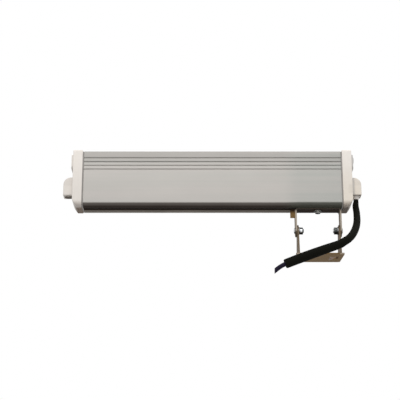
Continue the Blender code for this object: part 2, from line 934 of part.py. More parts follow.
def screw_holes(name, side):
    """Four stepped holes for the cap screws."""
    floor = CAP_THICK - COUNTERBORE_DEEP
    profile = (
        (0, CAP_THICK + OVERRUN),
        (COUNTERBORE_RADIUS, CAP_THICK + OVERRUN),
        (COUNTERBORE_RADIUS, floor),
        (M4_HOLE, floor),
        (M4_HOLE, -OVERRUN),
        (0, -OVERRUN),
    )
    shapes = [
        turned(
            name + "_hole",
            profile,
            False,
            (from_cap_face(side, 0), y, z),
            (side, 0, 0),
            SMALL_SIDES,
        )
        for label, y, z in PORTS
    ]
    return joined(name + "_screw_holes", shapes)


def entry_shape(name, side):
    """The cable entry: a wide bore from below, then a narrower one."""
    profile = (
        (0, ELBOW_HIGH),
        (ELBOW_RADIUS, ELBOW_HIGH),
        (ELBOW_RADIUS, ENTRY_HIGH),
        (ENTRY_RADIUS, ENTRY_HIGH),
        (ENTRY_RADIUS, -OVERRUN),
        (0, -OVERRUN),
    )
    place = (from_cap_face(side, ENTRY_FROM_SEAM), 0, BOSS_UNDER_Z)
    return turned(name + "_entry", profile, False, place, (0, 0, 1), ROUND_SIDES)


def elbow_shape(name, side):
    """The passage from the entry into the cap's hollow."""
    level = BOSS_UNDER_Z + ELBOW_HIGH
    return rod(
        name + "_elbow",
        (from_cap_face(side, CAP_THICK - CAP_WALL - OVERRUN), 0, level),
        (from_cap_face(side, ENTRY_FROM_SEAM + ELBOW_RADIUS / 2), 0, level),
        ELBOW_RADIUS,
        ROUND_SIDES,
    )


def vent_hole(name, side):
    """The hole for the vent's stem."""
    level = TOP_Z - VENT_BELOW_TOP
    return rod(
        name + "_vent_hole",
        (from_cap_face(side, CAP_THICK - CAP_WALL - OVERRUN), 0, level),
        (from_cap_face(side, CAP_THICK + PAD_PROUD + OVERRUN), 0, level),
        VENT_STEM + GAP,
        ROUND_SIDES,
    )


def end_cap(name, side):
    """A cast cap with its pad, boss, pocket, entry and screw holes."""
    made = cap_body(name, side)
    join(made, boss_shape(name, side))
    join(made, pad_shape(name, side))
    cut(made, pocket_shape(name, side))
    cut(made, screw_holes(name, side))
    cut(made, entry_shape(name, side))
    cut(made, elbow_shape(name, side))
    if side > 0:
        cut(made, vent_hole(name, side))
    return made


def cap_gasket(name, side):
    """The seal between a cap and the housing, open to the chamber only."""
    half = HALF_DEPTH - GAP
    border = box_outline(
        -half, BASE_Z + GAP, half, TOP_Z - GAP, HOUSING_CORNER, RIM_CHAMFER
    )
    opening = box_outline(
        -POCKET_HALF_DEPTH,
        BASE_Z + GASKET_OPENING_ABOVE_BASE,
        POCKET_HALF_DEPTH,
        SHELF_UNDER_Z,
        CAP_EDGE_ROUND,
        CAP_EDGE_ROUND,
    )
    holes = [circle((y, z), M4_HOLE, SMALL_SIDES) for label, y, z in PORTS]
    low, high = span(side, -GAP - CAP_GASKET_THICK, -GAP)
    return extruded(name, [border, opening, *holes], "X", low, high)


def screw(name, place, axis, shank, head, high, long):
    """A socket head screw whose head stands on a place, with its shank along the axis's other way."""
    recess = head * SOCKET_SHARE
    floor = high * (1 - SCREW_SINK_SHARE)
    profile = (
        (0, floor),
        (recess, floor),
        (recess, high),
        (head * (1 - SOCKET_SHARE / 2), high),
        (head, floor),
        (head, 0),
        (shank, 0),
        (shank, -long),
        (0, -long),
    )
    return round_shaded(turned(name, profile, False, place, axis, SMALL_SIDES))


def cap_screws(side_name, side):
    """Four screws through a cap into the housing's ports."""
    stand = CAP_THICK - COUNTERBORE_DEEP + GAP
    long = stand + CAP_SEAM + CAP_SCREW_BITE
    x = from_cap_face(side, stand)
    made = []
    for label, y, z in PORTS:
        name = f"cap_screw_{side_name}_{label}"
        if made:
            made.append(copy_of(made[0], name, (x, y, z)))
        else:
            made.append(
                screw(name, (x, y, z), (side, 0, 0), M4_SHANK, M4_HEAD, M4_HEAD_HIGH, long)
            )
    return made


def vent_plug():
    """The breather on the right cap's pad."""
    stem = CAP_WALL + PAD_PROUD
    profile = (
        (0, VENT_PROUD),
        (VENT_RADIUS * (1 - SOCKET_SHARE / 2), VENT_PROUD),
        (VENT_RADIUS, VENT_PROUD / 2),
        (VENT_RADIUS, 0),
        (VENT_STEM, 0),
        (VENT_STEM, -stem),
        (0, -stem),
    )
    place = (from_cap_face(1, CAP_THICK + PAD_PROUD + GAP), 0, TOP_Z - VENT_BELOW_TOP)
    return round_shaded(turned("vent_plug", profile, False, place, (1, 0, 0), ROUND_SIDES))


def blanking_plug():
    """The threaded plug that closes the left entry from below."""
    radius = ENTRY_RADIUS - GAP
    top = ENTRY_HIGH - GAP - PLUG_SEAL_THICK - GAP
    profile = (
        (0, top),
        (radius, top),
        (radius, PLUG_EDGE - PLUG_PROUD),
        (radius - PLUG_EDGE, -PLUG_PROUD),
        (0, -PLUG_PROUD),
    )
    place = (from_cap_face(-1, ENTRY_FROM_SEAM), 0, BOSS_UNDER_Z)
    return round_shaded(turned("blanking_plug", profile, False, place, (0, 0, 1), ROUND_SIDES))


def plug_seal():
    """The ring between the plug's top and the shoulder of the entry."""
    level = BOSS_UNDER_Z + ENTRY_HIGH - GAP - PLUG_SEAL_THICK
    return ring(
        "plug_seal",
        ELBOW_RADIUS,
        ENTRY_RADIUS - GAP,
        PLUG_SEAL_THICK,
        (from_cap_face(-1, ENTRY_FROM_SEAM), 0, level),
        (0, 0, 1),
        ROUND_SIDES,
    )


def gland_ring():
    """The threaded ring in the right entry, with its tapered nozzle around the lead's neck."""
    inside = NECK_RADIUS + GAP
    profile = (
        (ENTRY_RADIUS - GAP, RING_INSET + RING_HIGH),
        (ENTRY_RADIUS - GAP, RING_INSET),
        (NOZZLE_ROOT_RADIUS, RING_INSET),
        (NOZZLE_TIP_RADIUS, -NOZZLE_HIGH),
        (inside, -NOZZLE_HIGH),
        (inside, RING_INSET + RING_HIGH),
    )
    place = (ENTRY_RIGHT_X, 0, BOSS_UNDER_Z)
    return round_shaded(turned("gland_ring", profile, True, place, (0, 0, 1), ROUND_SIDES))


def bush_low():
    """How far the bush's underside is above the boss's underside."""
    return RING_INSET + RING_HIGH + GAP


def gland_bush():
    """The rubber bush above the ring, around the cable's inner tail."""
    place = (ENTRY_RIGHT_X, 0, BOSS_UNDER_Z + bush_low())
    return ring(
        "gland_bush",
        TAIL_RADIUS + GAP,
        ENTRY_RADIUS - GAP,
        BUSH_HIGH,
        place,
        (0, 0, 1),
        ROUND_SIDES,
    )


def from_entry(route):
    """A route given from the entry's centre, in the part's own frame."""
    return [(ENTRY_RIGHT_X + x, y, BOSS_UNDER_Z + z, *radius) for x, y, z, *radius in route]


def cable_sleeve():
    """The free sleeve: its neck in the gland, then down and forward in front of the bracket."""
    top = (0, 0, bush_low() - GAP, NECK_RADIUS)
    tip = (0, 0, -NOZZLE_HIGH - GAP, NECK_RADIUS)
    route = from_entry([top, tip, *SLEEVE_ROUTE])
    return tube("cable_sleeve", route, NECK_RADIUS, SLEEVE_POINT_SPACE)


def cable_end():
    """The cable that shows past the sleeve, with its plain cut end."""
    return tube("cable_end", from_entry(CABLE_ROUTE), CABLE_RADIUS, LEAD_POINT_SPACE)


def supply_tail():
    """The cable inside, from the bush round the elbow to the terminals."""
    start = (0, 0, bush_low())
    level = TRAY_TOP_Z + GAP + TERMINAL_WIRE_HIGH - BOSS_UNDER_Z
    end_x = TERMINAL_RIGHT + GAP - ENTRY_RIGHT_X
    route = [start, *TAIL_ROUTE, (end_x + TAIL_RADIUS, 0, level), (end_x, 0, level)]
    return tube("supply_tail", from_entry(route), TAIL_RADIUS, LEAD_POINT_SPACE)


def board_low():
    """The underside of the light boards."""
    return SHELF_TOP_Z + GAP


def led_board(name, index):
    """A light board with its row of diodes."""
    centre = board_centre(index)
    low = board_low()
    made = cuboid(
        name,
        (centre - BOARD_LENGTH / 2, -BOARD_HALF_DEPTH, low),
        (centre + BOARD_LENGTH / 2, BOARD_HALF_DEPTH, low + BOARD_THICK),
    )
    first = centre - DIODE_STEP * (DIODE_COUNT - 1) / 2
    row = cuboid(
        name + "_diodes",
        (first - DIODE_SIZE / 2, -DIODE_SIZE / 2, low + BOARD_THICK / 2),
        (first + DIODE_SIZE / 2, DIODE_SIZE / 2, low + BOARD_THICK + DIODE_HIGH),
    )
    repeat = row.modifiers.new("row", "ARRAY")
    repeat.count = DIODE_COUNT
    repeat.use_relative_offset = False
    repeat.use_constant_offset = True
    repeat.constant_offset_displace = (DIODE_STEP, 0, 0)
    join(made, row)
    reach = BOARD_LENGTH / 2 - BOARD_SCREW_FROM_END
    holes = [
        rod(
            name + "_hole",
            (centre + side * reach, 0, low - OVERRUN),
            (centre + side * reach, 0, low + BOARD_THICK + OVERRUN),
            M3_HOLE,
            SMALL_SIDES,
        )
        for side in (-1, 1)
    ]
    return cut(made, joined(name + "_holes", holes))


def lens_strip(name, index):
    """A moulded strip that stands over a row of diodes."""
    low = board_low() + BOARD_THICK + GAP
    inside = LENS_HALF_DEPTH - LENS_FOOT
    rise = LENS_HIGH - LENS_SIDE
    dome = []
    for step in range(2 * ARC_STEPS + 1):
        angle = QUARTER_TURN * step / (2 * ARC_STEPS)
        dome.append((LENS_HALF_DEPTH * math.cos(angle), low + LENS_SIDE + rise * math.sin(angle)))
    half = [(inside, low + LENS_RECESS), (inside, low), (LENS_HALF_DEPTH, low), *dome[:-1]]
    outline = half + [(0, low + LENS_HIGH)] + [(-across, up) for across, up in reversed(half)]
    centre = board_centre(index)
    made = extruded(name, [outline], "X", centre - LENS_LENGTH / 2, centre + LENS_LENGTH / 2)
    return round_shaded(made)


def board_screws():
    """Four small screws that hold the light boards on the shelf."""
    level = board_low() + BOARD_THICK + GAP
    made = []
    for number, x in enumerate(board_screw_places(), 1):
        name = f"board_screw_{number}"
        if made:
            made.append(copy_of(made[0], name, (x, 0, level)))
        else:
            made.append(
                screw(
                    name, (x, 0, level), (0, 0, 1), M3_SHANK, M3_HEAD, M3_HEAD_HIGH, BOARD_SCREW_LONG
                )
            )
    return made


def flange_centres():
    """X of the driver screws."""
    return (DRIVER_LEFT - FLANGE_LONG / 2, DRIVER_RIGHT + FLANGE_LONG / 2)


def driver_tray():
    """The sheet that carries the driver, held by the grooves in the housing's sides."""
    side = RIM_INSIDE - GAP
    low = TRAY_GROOVE_Z + GAP
    made = cuboid(
        "driver_tray",
        (HOUSING_LEFT + TRAY_END_SPACE, -side, low),
        (HOUSING_RIGHT - TRAY_END_SPACE, side, low + TRAY_THICK),
    )
    places = [(x, M4_HOLE) for x in flange_centres()]
    places.append(((TERMINAL_LEFT + TERMINAL_RIGHT) / 2, M3_HOLE))
    holes = [
        rod("tray_hole", (x, 0, low - OVERRUN), (x, 0, TRAY_TOP_Z + OVERRUN), radius, SMALL_SIDES)
        for x, radius in places
    ]
    return cut(made, joined("tray_holes", holes))


def driver():
    """The driver: a closed box with a screw flange at each end."""
    low = TRAY_TOP_Z + GAP
    box = cuboid(
        "driver_box",
        (DRIVER_LEFT, -DRIVER_HALF_DEPTH, low),
        (DRIVER_RIGHT, DRIVER_HALF_DEPTH, low + DRIVER_HIGH),
    )
    rounded(box, DRIVER_ROUND, 2)
    made = cuboid(
        "driver",
        (DRIVER_LEFT - FLANGE_LONG, -DRIVER_HALF_DEPTH / 2, low),
        (DRIVER_RIGHT + FLANGE_LONG, DRIVER_HALF_DEPTH / 2, low + FLANGE_THICK),
    )
    join(made, box)
    holes = [
        rod(
            "driver_hole",
            (x, 0, low - OVERRUN),
            (x, 0, low + FLANGE_THICK + OVERRUN),
            M4_HOLE,
            SMALL_SIDES,
        )
        for x in flange_centres()
    ]
    return cut(made, joined("driver_holes", holes))


def driver_screws():
    """Two screws through the driver's flanges and the tray."""
    level = TRAY_TOP_Z + GAP + FLANGE_THICK + GAP
    left, right = flange_centres()
    first = screw(
        "driver_screw_left",
        (left, 0, level),
        (0, 0, 1),
        M4_SHANK,
        M4_HEAD,
        M4_HEAD_HIGH,
        DRIVER_SCREW_LONG,
    )
    return [first, copy_of(first, "driver_screw_right", (right, 0, level))]


def terminal_block():
    """The terminal block, with a wire funnel in each end and a screw hole through it."""
    low = TRAY_TOP_Z + GAP
    middle = (TERMINAL_LEFT + TERMINAL_RIGHT) / 2
    made = cuboid(
        "terminal_block",
        (TERMINAL_LEFT, -TERMINAL_HALF_DEPTH, low),
        (TERMINAL_RIGHT, TERMINAL_HALF_DEPTH, low + TERMINAL_HIGH),
    )
    rounded(made, TERMINAL_ROUND, 2)
    hole = rod(
        "terminal_hole",
        (middle, 0, low - OVERRUN),
        (middle, 0, low + TERMINAL_HIGH + OVERRUN),
        M3_HOLE,
        SMALL_SIDES,
    )
    shapes = [hole]
    for end, way in ((TERMINAL_LEFT, 1), (TERMINAL_RIGHT, -1)):
        for side in (-1, 1):
            y = side * TERMINAL_HALF_DEPTH / 2
            z = low + TERMINAL_WIRE_HIGH
            shapes.append(
                rod(
                    "terminal_funnel",
                    (end - way * OVERRUN, y, z),
                    (end + way * TERMINAL_FUNNEL_DEEP, y, z),
                    TERMINAL_FUNNEL,
                    SMALL_SIDES,
                )
            )
    return cut(made, joined("terminal_holes", shapes))


def terminal_screw():
    """The screw that holds the terminal block on the tray."""
    middle = (TERMINAL_LEFT + TERMINAL_RIGHT) / 2
    level = TRAY_TOP_Z + GAP + TERMINAL_HIGH + GAP
    return screw(
        "terminal_screw",
        (middle, 0, level),
        (0, 0, 1),
        M3_SHANK,
        M3_HEAD,
        M3_HEAD_HIGH,
        TERMINAL_SCREW_LONG,
    )


def driver_input_lead():
    """The lead from the terminal block to the driver's right end."""
    floor = TRAY_TOP_Z + GAP
    start = (TERMINAL_LEFT - GAP, 0, floor + TERMINAL_WIRE_HIGH)
    end = (DRIVER_RIGHT + GAP, 0, floor + DRIVER_WIRE_HIGH)
    third = (end[0] - start[0]) / 3
    rise = (end[2] - start[2]) / 4
    run = third / 4
    route = (
        start,
        (start[0] + run, 0, start[2]),
        (start[0] + third, 0, start[2] + rise),
        (end[0] - third, 0, end[2] - rise),
        (end[0] - run, 0, end[2]),
        end,
    )
    return tube("driver_input_lead", route, INNER_LEAD_RADIUS, LEAD_POINT_SPACE)


def led_lead():
    """The lead from the driver up through the wire hole to the right board."""
    start = (DRIVER_RIGHT + GAP, 0, TRAY_TOP_Z + GAP + LED_WIRE_HIGH)
    end = (WIRE_HOLE_X, 0, board_low() - GAP)
    under = SHELF_UNDER_Z - SHELF_THICK
    long = end[0] - start[0]
    high = under - start[2]
    route = (
        start,
        (start[0] + long / 12, 0, start[2]),
        (start[0] + long / 4, 0, start[2] + high / 12),
        (start[0] + long * 3 / 5, 0, start[2] + high * 2 / 5),
        (end[0] - long / 12, 0, under - high / 8),
        (end[0], 0, SHELF_UNDER_Z),
        end,
    )
    return tube("led_lead", route, INNER_LEAD_RADIUS, LEAD_POINT_SPACE)


def yoke_outline():
    """The upper yoke seen from the front: a web and two arms, with rounded bends."""
    inside = YOKE_OUTSIDE - YOKE_THICK
    low = PIVOT_HEIGHT - YOKE_HALF_DEPTH
    small = YOKE_BEND - YOKE_THICK
    centre = (YOKE_OUTSIDE - YOKE_BEND, WEB_TOP_Z - YOKE_BEND)
    outer = [(YOKE_OUTSIDE, low), *arc(centre, YOKE_BEND, 0, QUARTER_TURN, ARC_STEPS)]
    inner = [(inside, low), *arc(centre, small, 0, QUARTER_TURN, ARC_STEPS)]
    return (
        outer
        + [(-across, up) for across, up in reversed(outer)]
        + [(-across, up) for across, up in inner]
        + list(reversed(inner))
    )


def yoke_side():
    """The upper yoke seen from the side: straight down to a round end about the pivot."""
    half = YOKE_HALF_DEPTH
    end = arc((0, PIVOT_HEIGHT), half, -HALF_TURN, 0, 2 * ARC_STEPS)
    top = WEB_TOP_Z + OVERRUN
    return [*end, (half, top), (-half, top)]


def ear_shape():
    """The small ear folded out from the front edge of the left arm."""
    top = BASE_Z - EAR_BELOW_BASE
    made = cuboid(
        "yoke_ear",
        (-YOKE_OUTSIDE - EAR_REACH, -YOKE_HALF_DEPTH, top - EAR_HEIGHT),
        (-YOKE_OUTSIDE + SINK, -YOKE_HALF_DEPTH + EAR_THICK, top),
    )
    return made


def upper_yoke():
    """The yoke that is bolted under the housing and turns about the pivot."""
    half = YOKE_HALF_DEPTH + OVERRUN
    made = extruded("upper_yoke", [yoke_outline()], "Y", -half, half)
    reach = YOKE_OUTSIDE + OVERRUN
    combine(made, extruded("yoke_side", [yoke_side()], "X", -reach, reach), "INTERSECT")
    join(made, ear_shape())
    holes = [
        rod("pivot_hole", (-reach, 0, PIVOT_HEIGHT), (reach, 0, PIVOT_HEIGHT), M8_HOLE, ROUND_SIDES),
        rod(
            "web_hole",
            (0, 0, WEB_UNDER_Z - OVERRUN),
            (0, 0, WEB_TOP_Z + OVERRUN),
            M8_HOLE,
            ROUND_SIDES,
        ),
    ]
    return cut(made, joined("yoke_holes", holes))


def arm_outline():
    """A lower arm seen from the side: wide at the foot and round about the pivot."""
    low = FOOT_THICK - SINK
    tangent = math.asin(ARM_END_RADIUS / PIVOT_HEIGHT)
    end = arc((0, PIVOT_HEIGHT), ARM_END_RADIUS, tangent, HALF_TURN - tangent, 2 * ARC_STEPS)
    return [(ARM_ROOT_HALF_DEPTH, low), *end, (-ARM_ROOT_HALF_DEPTH, low)]


def foot_slot(centre):
    """A round-ended slot along X."""
    radius = FOOT_SLOT_WIDTH / 2
    reach = FOOT_SLOT_LENGTH / 2 - radius
    points = arc((centre + reach, 0), radius, -QUARTER_TURN, QUARTER_TURN, 2 * ARC_STEPS)
    points += arc((centre - reach, 0), radius, QUARTER_TURN, 3 * QUARTER_TURN, 2 * ARC_STEPS)
    return points


def foot_border():
    """The foot seen from above: its ends slant in a little towards the back edge."""
    square = box_outline(
        -FOOT_HALF_LENGTH,
        -FOOT_HALF_DEPTH,
        FOOT_HALF_LENGTH,
        FOOT_HALF_DEPTH,
        FOOT_CORNER,
        FOOT_CORNER,
    )
    border = []
    for across, back in square:
        inwards = FOOT_TAPER * (back + FOOT_HALF_DEPTH) / (2 * FOOT_HALF_DEPTH)
        border.append((across - math.copysign(inwards, across), back))
    return border


def lower_yoke():
    """The foot plate with its two welded arms."""
    slots = [foot_slot(-FOOT_SLOT_X), foot_slot(FOOT_SLOT_X)]
    made = extruded("lower_yoke", [foot_border(), *slots], "Z", 0, FOOT_THICK)
    for name, side in (("left_arm", -1), ("right_arm", 1)):
        low, high = sorted((side * LOWER_ARM_INSIDE, side * LOWER_ARM_OUTSIDE))
        join(made, extruded(name, [arm_outline()], "X", low, high))
    reach = YOKE_OUTSIDE
    hole = rod(
        "arm_hole", (-reach, 0, PIVOT_HEIGHT), (reach, 0, PIVOT_HEIGHT), M8_HOLE, ROUND_SIDES
    )
    return cut(made, hole)


def hexagon(name, place, way, across_flats, high):
    """A six-sided prism that starts at a place and runs this far along a way."""
    radius = across_flats / 2 / math.cos(HALF_TURN / 6)
    start = Vector(place)
    return rod(name, start, start + Vector(way) * high, radius, 6)


def web_bolt():
    """The flanged hex bolt up through the web into the slot nut."""
    head_top = WEB_UNDER_Z - GAP
    flange_under = head_top - WEB_BOLT_FLANGE_THICK
    start = (0, 0, flange_under + SINK)
    high = WEB_BOLT_HEX_HIGH + SINK
    made = hexagon("web_bolt", start, (0, 0, -1), WEB_BOLT_ACROSS_FLATS, high)
    rounded(made, SHEET_ROUND, 1)
    join(made, rod("web_flange", (0, 0, flange_under), (0, 0, head_top), WEB_BOLT_FLANGE, ROUND_SIDES))
    shank_top = BASE_Z + BASE_WALL + NUT_THICK
    shank = rod("web_shank", (0, 0, head_top - SINK), (0, 0, shank_top), M8_SHANK, ROUND_SIDES)
    return join(made, shank)


def slot_nut():
    """The nut inside the base slot, with a neck that keeps it from turning."""
    low = BASE_Z + BASE_WALL + GAP
    made = cuboid(
        "slot_nut",
        (-NUT_LENGTH / 2, -NUT_HALF_DEPTH, low),
        (NUT_LENGTH / 2, NUT_HALF_DEPTH, low + NUT_THICK),
    )
    neck_side = SLOT_MOUTH / 2 - GAP
    neck = cuboid(
        "nut_neck",
        (-NUT_LENGTH / 2 + SINK, -neck_side, BASE_Z + GAP),
        (NUT_LENGTH / 2 - SINK, neck_side, low + SINK),
    )
    join(made, neck)
    hole = rod(
        "nut_hole",
        (0, 0, BASE_Z - OVERRUN),
        (0, 0, low + NUT_THICK + OVERRUN),
        M8_SHANK + GAP / 2,
        ROUND_SIDES,
    )
    return cut(made, hole)


def pivot_stack():
    """X of each part of one pivot's stack: under the head, washer, nut and the bolt's end."""
    head = YOKE_OUTSIDE + GAP
    washer = LOWER_ARM_INSIDE - GAP
    nut = washer - M8_WASHER_THICK - GAP
    end = nut - M8_NUT_HIGH - BOLT_PAST_NUT
    return head, washer, nut, end


def pivot_bolt(name, side):
    """A low domed bolt through both arms."""
    head, washer, nut, end = pivot_stack()
    profile = []
    for step in range(4):
        angle = QUARTER_TURN * step / 4
        profile.append((M8_DOME_RADIUS * math.sin(angle), M8_DOME_HIGH * math.cos(angle)))
    profile += [(M8_DOME_RADIUS, 0), (M8_SHANK, 0), (M8_SHANK, end - head), (0, end - head)]
    place = (side * head, 0, PIVOT_HEIGHT)
    return round_shaded(turned(name, profile, False, place, (side, 0, 0), ROUND_SIDES))


def pivot_washer(name, side):
    """The flat washer between the lower arm and the nut."""
    head, washer, nut, end = pivot_stack()
    place = (side * (washer - M8_WASHER_THICK), 0, PIVOT_HEIGHT)
    return ring(name, M8_HOLE, M8_WASHER, M8_WASHER_THICK, place, (side, 0, 0), ROUND_SIDES)


def pivot_nut(name, side):
    """The hex nut inside the arms."""
    head, washer, nut, end = pivot_stack()
    made = hexagon(
        name, (side * nut, 0, PIVOT_HEIGHT), (-side, 0, 0), M8_HEX_ACROSS_FLATS, M8_NUT_HIGH
    )
    rounded(made, SHEET_ROUND, 1)
    hole = rod(
        name + "_hole",
        (side * (nut + OVERRUN), 0, PIVOT_HEIGHT),
        (side * (end - OVERRUN), 0, PIVOT_HEIGHT),
        M8_SHANK + GAP / 2,
        ROUND_SIDES,
    )
    return cut(made, hole)


def head_pieces():
    """The housing and all that rides on it."""
    aluminium = satin_aluminium()
    paint = cast_paint()
    rubber = dark_rubber()
    steel = bright_steel()
    plastic = dark_plastic()
    glass = clear_glass()
    optics = clear_lens()
    board = board_white()
    sheath = navy_sheath()
    made = [
        dressed(housing(), aluminium),
        dressed(window_glass(), glass),
        dressed(window_seal("window_seal_front", -1), rubber),
        dressed(window_seal("window_seal_back", 1), rubber),
        dressed(window_bar("window_bar_front", -1), aluminium),
        dressed(window_bar("window_bar_back", 1), aluminium),
        dressed(end_cap("end_cap_right", 1), paint),
        dressed(end_cap("end_cap_left", -1), paint),
        dressed(cap_gasket("cap_gasket_right", 1), rubber),
        dressed(cap_gasket("cap_gasket_left", -1), rubber),
        dressed(vent_plug(), plastic),
        dressed(blanking_plug(), plastic),
        dressed(plug_seal(), rubber),
        dressed(gland_ring(), plastic),
        dressed(gland_bush(), rubber),
        dressed(cable_sleeve(), black_sleeve()),
        dressed(cable_end(), sheath),
        dressed(supply_tail(), sheath),
        dressed(led_board("led_board_right", 0), board),
        dressed(led_board("led_board_left", 1), board),
        dressed(lens_strip("lens_strip_right", 0), optics),
        dressed(lens_strip("lens_strip_left", 1), optics),
        dressed(driver_tray(), tray_zinc()),
        dressed(driver(), driver_shell()),
        dressed(terminal_block(), terminal_plastic()),
        dressed(terminal_screw(), steel),
        dressed(driver_input_lead(), sheath),
        dressed(led_lead(), sheath),
    ]
    for screws in (
        cap_screws("right", 1),
        cap_screws("left", -1),
        board_screws(),
        driver_screws(),
    ):
        dressed(screws[0], steel)
        made += screws
    return made


def yoke_pieces():
    """The upper yoke and its bolt."""
    steel = bright_steel()
    return [
        dressed(upper_yoke(), bracket_steel()),
        dressed(web_bolt(), steel),
        dressed(slot_nut(), steel),
    ]


def foot_pieces():
    """The lower yoke and both pivots."""
    steel = bright_steel()
    made = [dressed(lower_yoke(), bracket_steel())]
    for name, side in (("left", -1), ("right", 1)):
        made.append(dressed(pivot_bolt(f"pivot_bolt_{name}", side), steel))
        made.append(dressed(pivot_nut(f"pivot_nut_{name}", side), steel))
        made.append(dressed(pivot_washer(f"pivot_washer_{name}", side), steel))
    return made


def main():
    """Builds the three bodies and hangs each on the frame of its joint."""
    foot = frame_at("foot_frame", (0, 0, 0), None)
    tilt = frame_at("tilt_axis", (0, 0, PIVOT_HEIGHT), foot)
    slide = frame_at("slide_axis", (0, 0, BASE_Z), tilt)
    hang(foot, foot_pieces())
    hang(tilt, yoke_pieces())
    hang(slide, head_pieces())


main()
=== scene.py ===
"""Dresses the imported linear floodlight: lead, extrusion, castings, window, bracket, fasteners."""

import json
import math

import bmesh
import bpy
import numpy as np
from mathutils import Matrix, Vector

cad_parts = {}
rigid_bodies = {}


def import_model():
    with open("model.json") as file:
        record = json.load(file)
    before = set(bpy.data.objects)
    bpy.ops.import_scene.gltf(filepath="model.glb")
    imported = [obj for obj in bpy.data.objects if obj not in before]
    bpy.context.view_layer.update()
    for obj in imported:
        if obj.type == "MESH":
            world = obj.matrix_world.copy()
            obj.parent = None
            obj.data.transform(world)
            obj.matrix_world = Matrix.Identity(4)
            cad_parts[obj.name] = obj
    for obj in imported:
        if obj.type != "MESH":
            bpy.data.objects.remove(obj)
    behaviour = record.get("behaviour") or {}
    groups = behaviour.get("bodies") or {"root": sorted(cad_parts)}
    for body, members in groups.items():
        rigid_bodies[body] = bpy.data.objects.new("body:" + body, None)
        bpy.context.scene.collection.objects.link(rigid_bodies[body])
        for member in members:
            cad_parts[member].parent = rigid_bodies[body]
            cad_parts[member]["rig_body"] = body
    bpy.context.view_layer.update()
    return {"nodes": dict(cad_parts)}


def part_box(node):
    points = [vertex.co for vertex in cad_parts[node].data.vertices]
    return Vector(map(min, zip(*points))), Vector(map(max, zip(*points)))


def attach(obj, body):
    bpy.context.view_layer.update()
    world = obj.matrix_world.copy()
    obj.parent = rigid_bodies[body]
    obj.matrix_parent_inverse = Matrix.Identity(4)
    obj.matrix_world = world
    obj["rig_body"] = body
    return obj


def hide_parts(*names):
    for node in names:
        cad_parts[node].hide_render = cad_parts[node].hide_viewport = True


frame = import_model()

bl_info = {
    "name": "Linear Floodlight",
    "version": (1, 0, 0),
    "blender": (4, 5, 0),
    "location": "3D View > Sidebar > Floodlight",
    "description": "Builds the visible surfaces of a linear floodlight on its tilting bracket",
    "category": "Add Mesh",
}

HOUSING_LOW, HOUSING_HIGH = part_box("housing")
ENTRY_LOW, ENTRY_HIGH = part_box("gland_ring")
SLEEVE_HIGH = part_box("cable_sleeve")[1]

# Sizes that the CAD and the drawn surfaces share
RIB_HEIGHT = 0.0015
RIB_INNER_Y = 0.0128
RIB_OUTER_Y = 0.0150
SLOT_MOUTH_HALF = 0.0045
SLOT_HALF = 0.0075
SLOT_HEIGHT = 0.0100
SLOT_LIP = 0.0030
TROUGH_HALF = 0.0230
TROUGH_LIP = 0.0012
TROUGH_LIP_REACH = 0.0008
LEDGE_HALF = 0.0190
LEDGE_BELOW_TOP = 0.0099
TROUGH_DEPTH = 0.0220
GROOVES_BELOW_TOP = (0.0380, 0.0300, 0.0220, 0.0140)
BUSH_SEAT = 0.0070
CAP_THICK = 0.0193
CAP_SEAM = 0.0026
ARM_ROOT_HALF_DEPTH = 0.0260
PLATE_THICK = 0.0030

BASE_Z = HOUSING_LOW.z + RIB_HEIGHT
TOP_Z = HOUSING_HIGH.z
SIDE_Y = HOUSING_HIGH.y
MIDDLE_X = (HOUSING_LOW.x + HOUSING_HIGH.x) / 2
CAP_FACE = (HOUSING_HIGH.x - HOUSING_LOW.x) / 2 + CAP_THICK + CAP_SEAM
ENTRY = Vector(((ENTRY_LOW.x + ENTRY_HIGH.x) / 2, 0, ENTRY_HIGH.z - BUSH_SEAT))

# The lead's route, measured from the centre of the entry in the boss's underside; the sleeve's
# points have its radius there as a fourth value
SLEEVE_ROUTE = (
    (0.0001, 0.0000, -0.0085, 0.0049),
    (-0.0004, -0.0003, -0.0120, 0.0055),
    (-0.0013, -0.0010, -0.0190, 0.0062),
    (-0.0005, -0.0065, -0.0355, 0.0066),
    (-0.0030, -0.0240, -0.0600, 0.0070),
    (-0.0088, -0.0400, -0.0797, 0.0073),
    (-0.0173, -0.0540, -0.0964, 0.0075),
    (-0.0264, -0.0630, -0.1074, 0.0077),
    (-0.0345, -0.0660, -0.1132, 0.0080),
    (-0.0432, -0.0670, -0.1187, 0.0083),
    (-0.0712, -0.0670, -0.1288, 0.0089),
    (-0.1022, -0.0670, -0.1402, 0.0093),
    (-0.1253, -0.0670, -0.1490, 0.0093),
    (-0.1488, -0.0670, -0.1583, 0.0091),
)
CABLE_ROUTE = (
    (-0.1590, -0.0670, -0.1640),
    (-0.1695, -0.0670, -0.1722),
)
NOZZLE_TIP = -0.0063
SLEEVE_STEP = 0.0020
CABLE_STEP = 0.0060
SLEEVE_SIDES = 32
CABLE_SIDES = 20

# Drawn detail: bevel widths, and the distance at which doubled points merge
FINE_EDGE = 0.0002
SMALL_EDGE = 0.0003
SOFT_EDGE = 0.0004
MERGE = 0.00001

# Stage: angles in degrees, lens and sensor in millimetres, and the rest in metres
CAMERA_TARGET = (-0.2347, 0.0, 0.1212)
CAMERA_DISTANCE = 2.5
CAMERA_TILT = 19.0
CAMERA_LENS = 112.5
CAMERA_SENSOR = 36.0
FLOOR_HALF = 6.0
FLOOR_LEVEL = -1.5
WORLD_FILL = 0.55

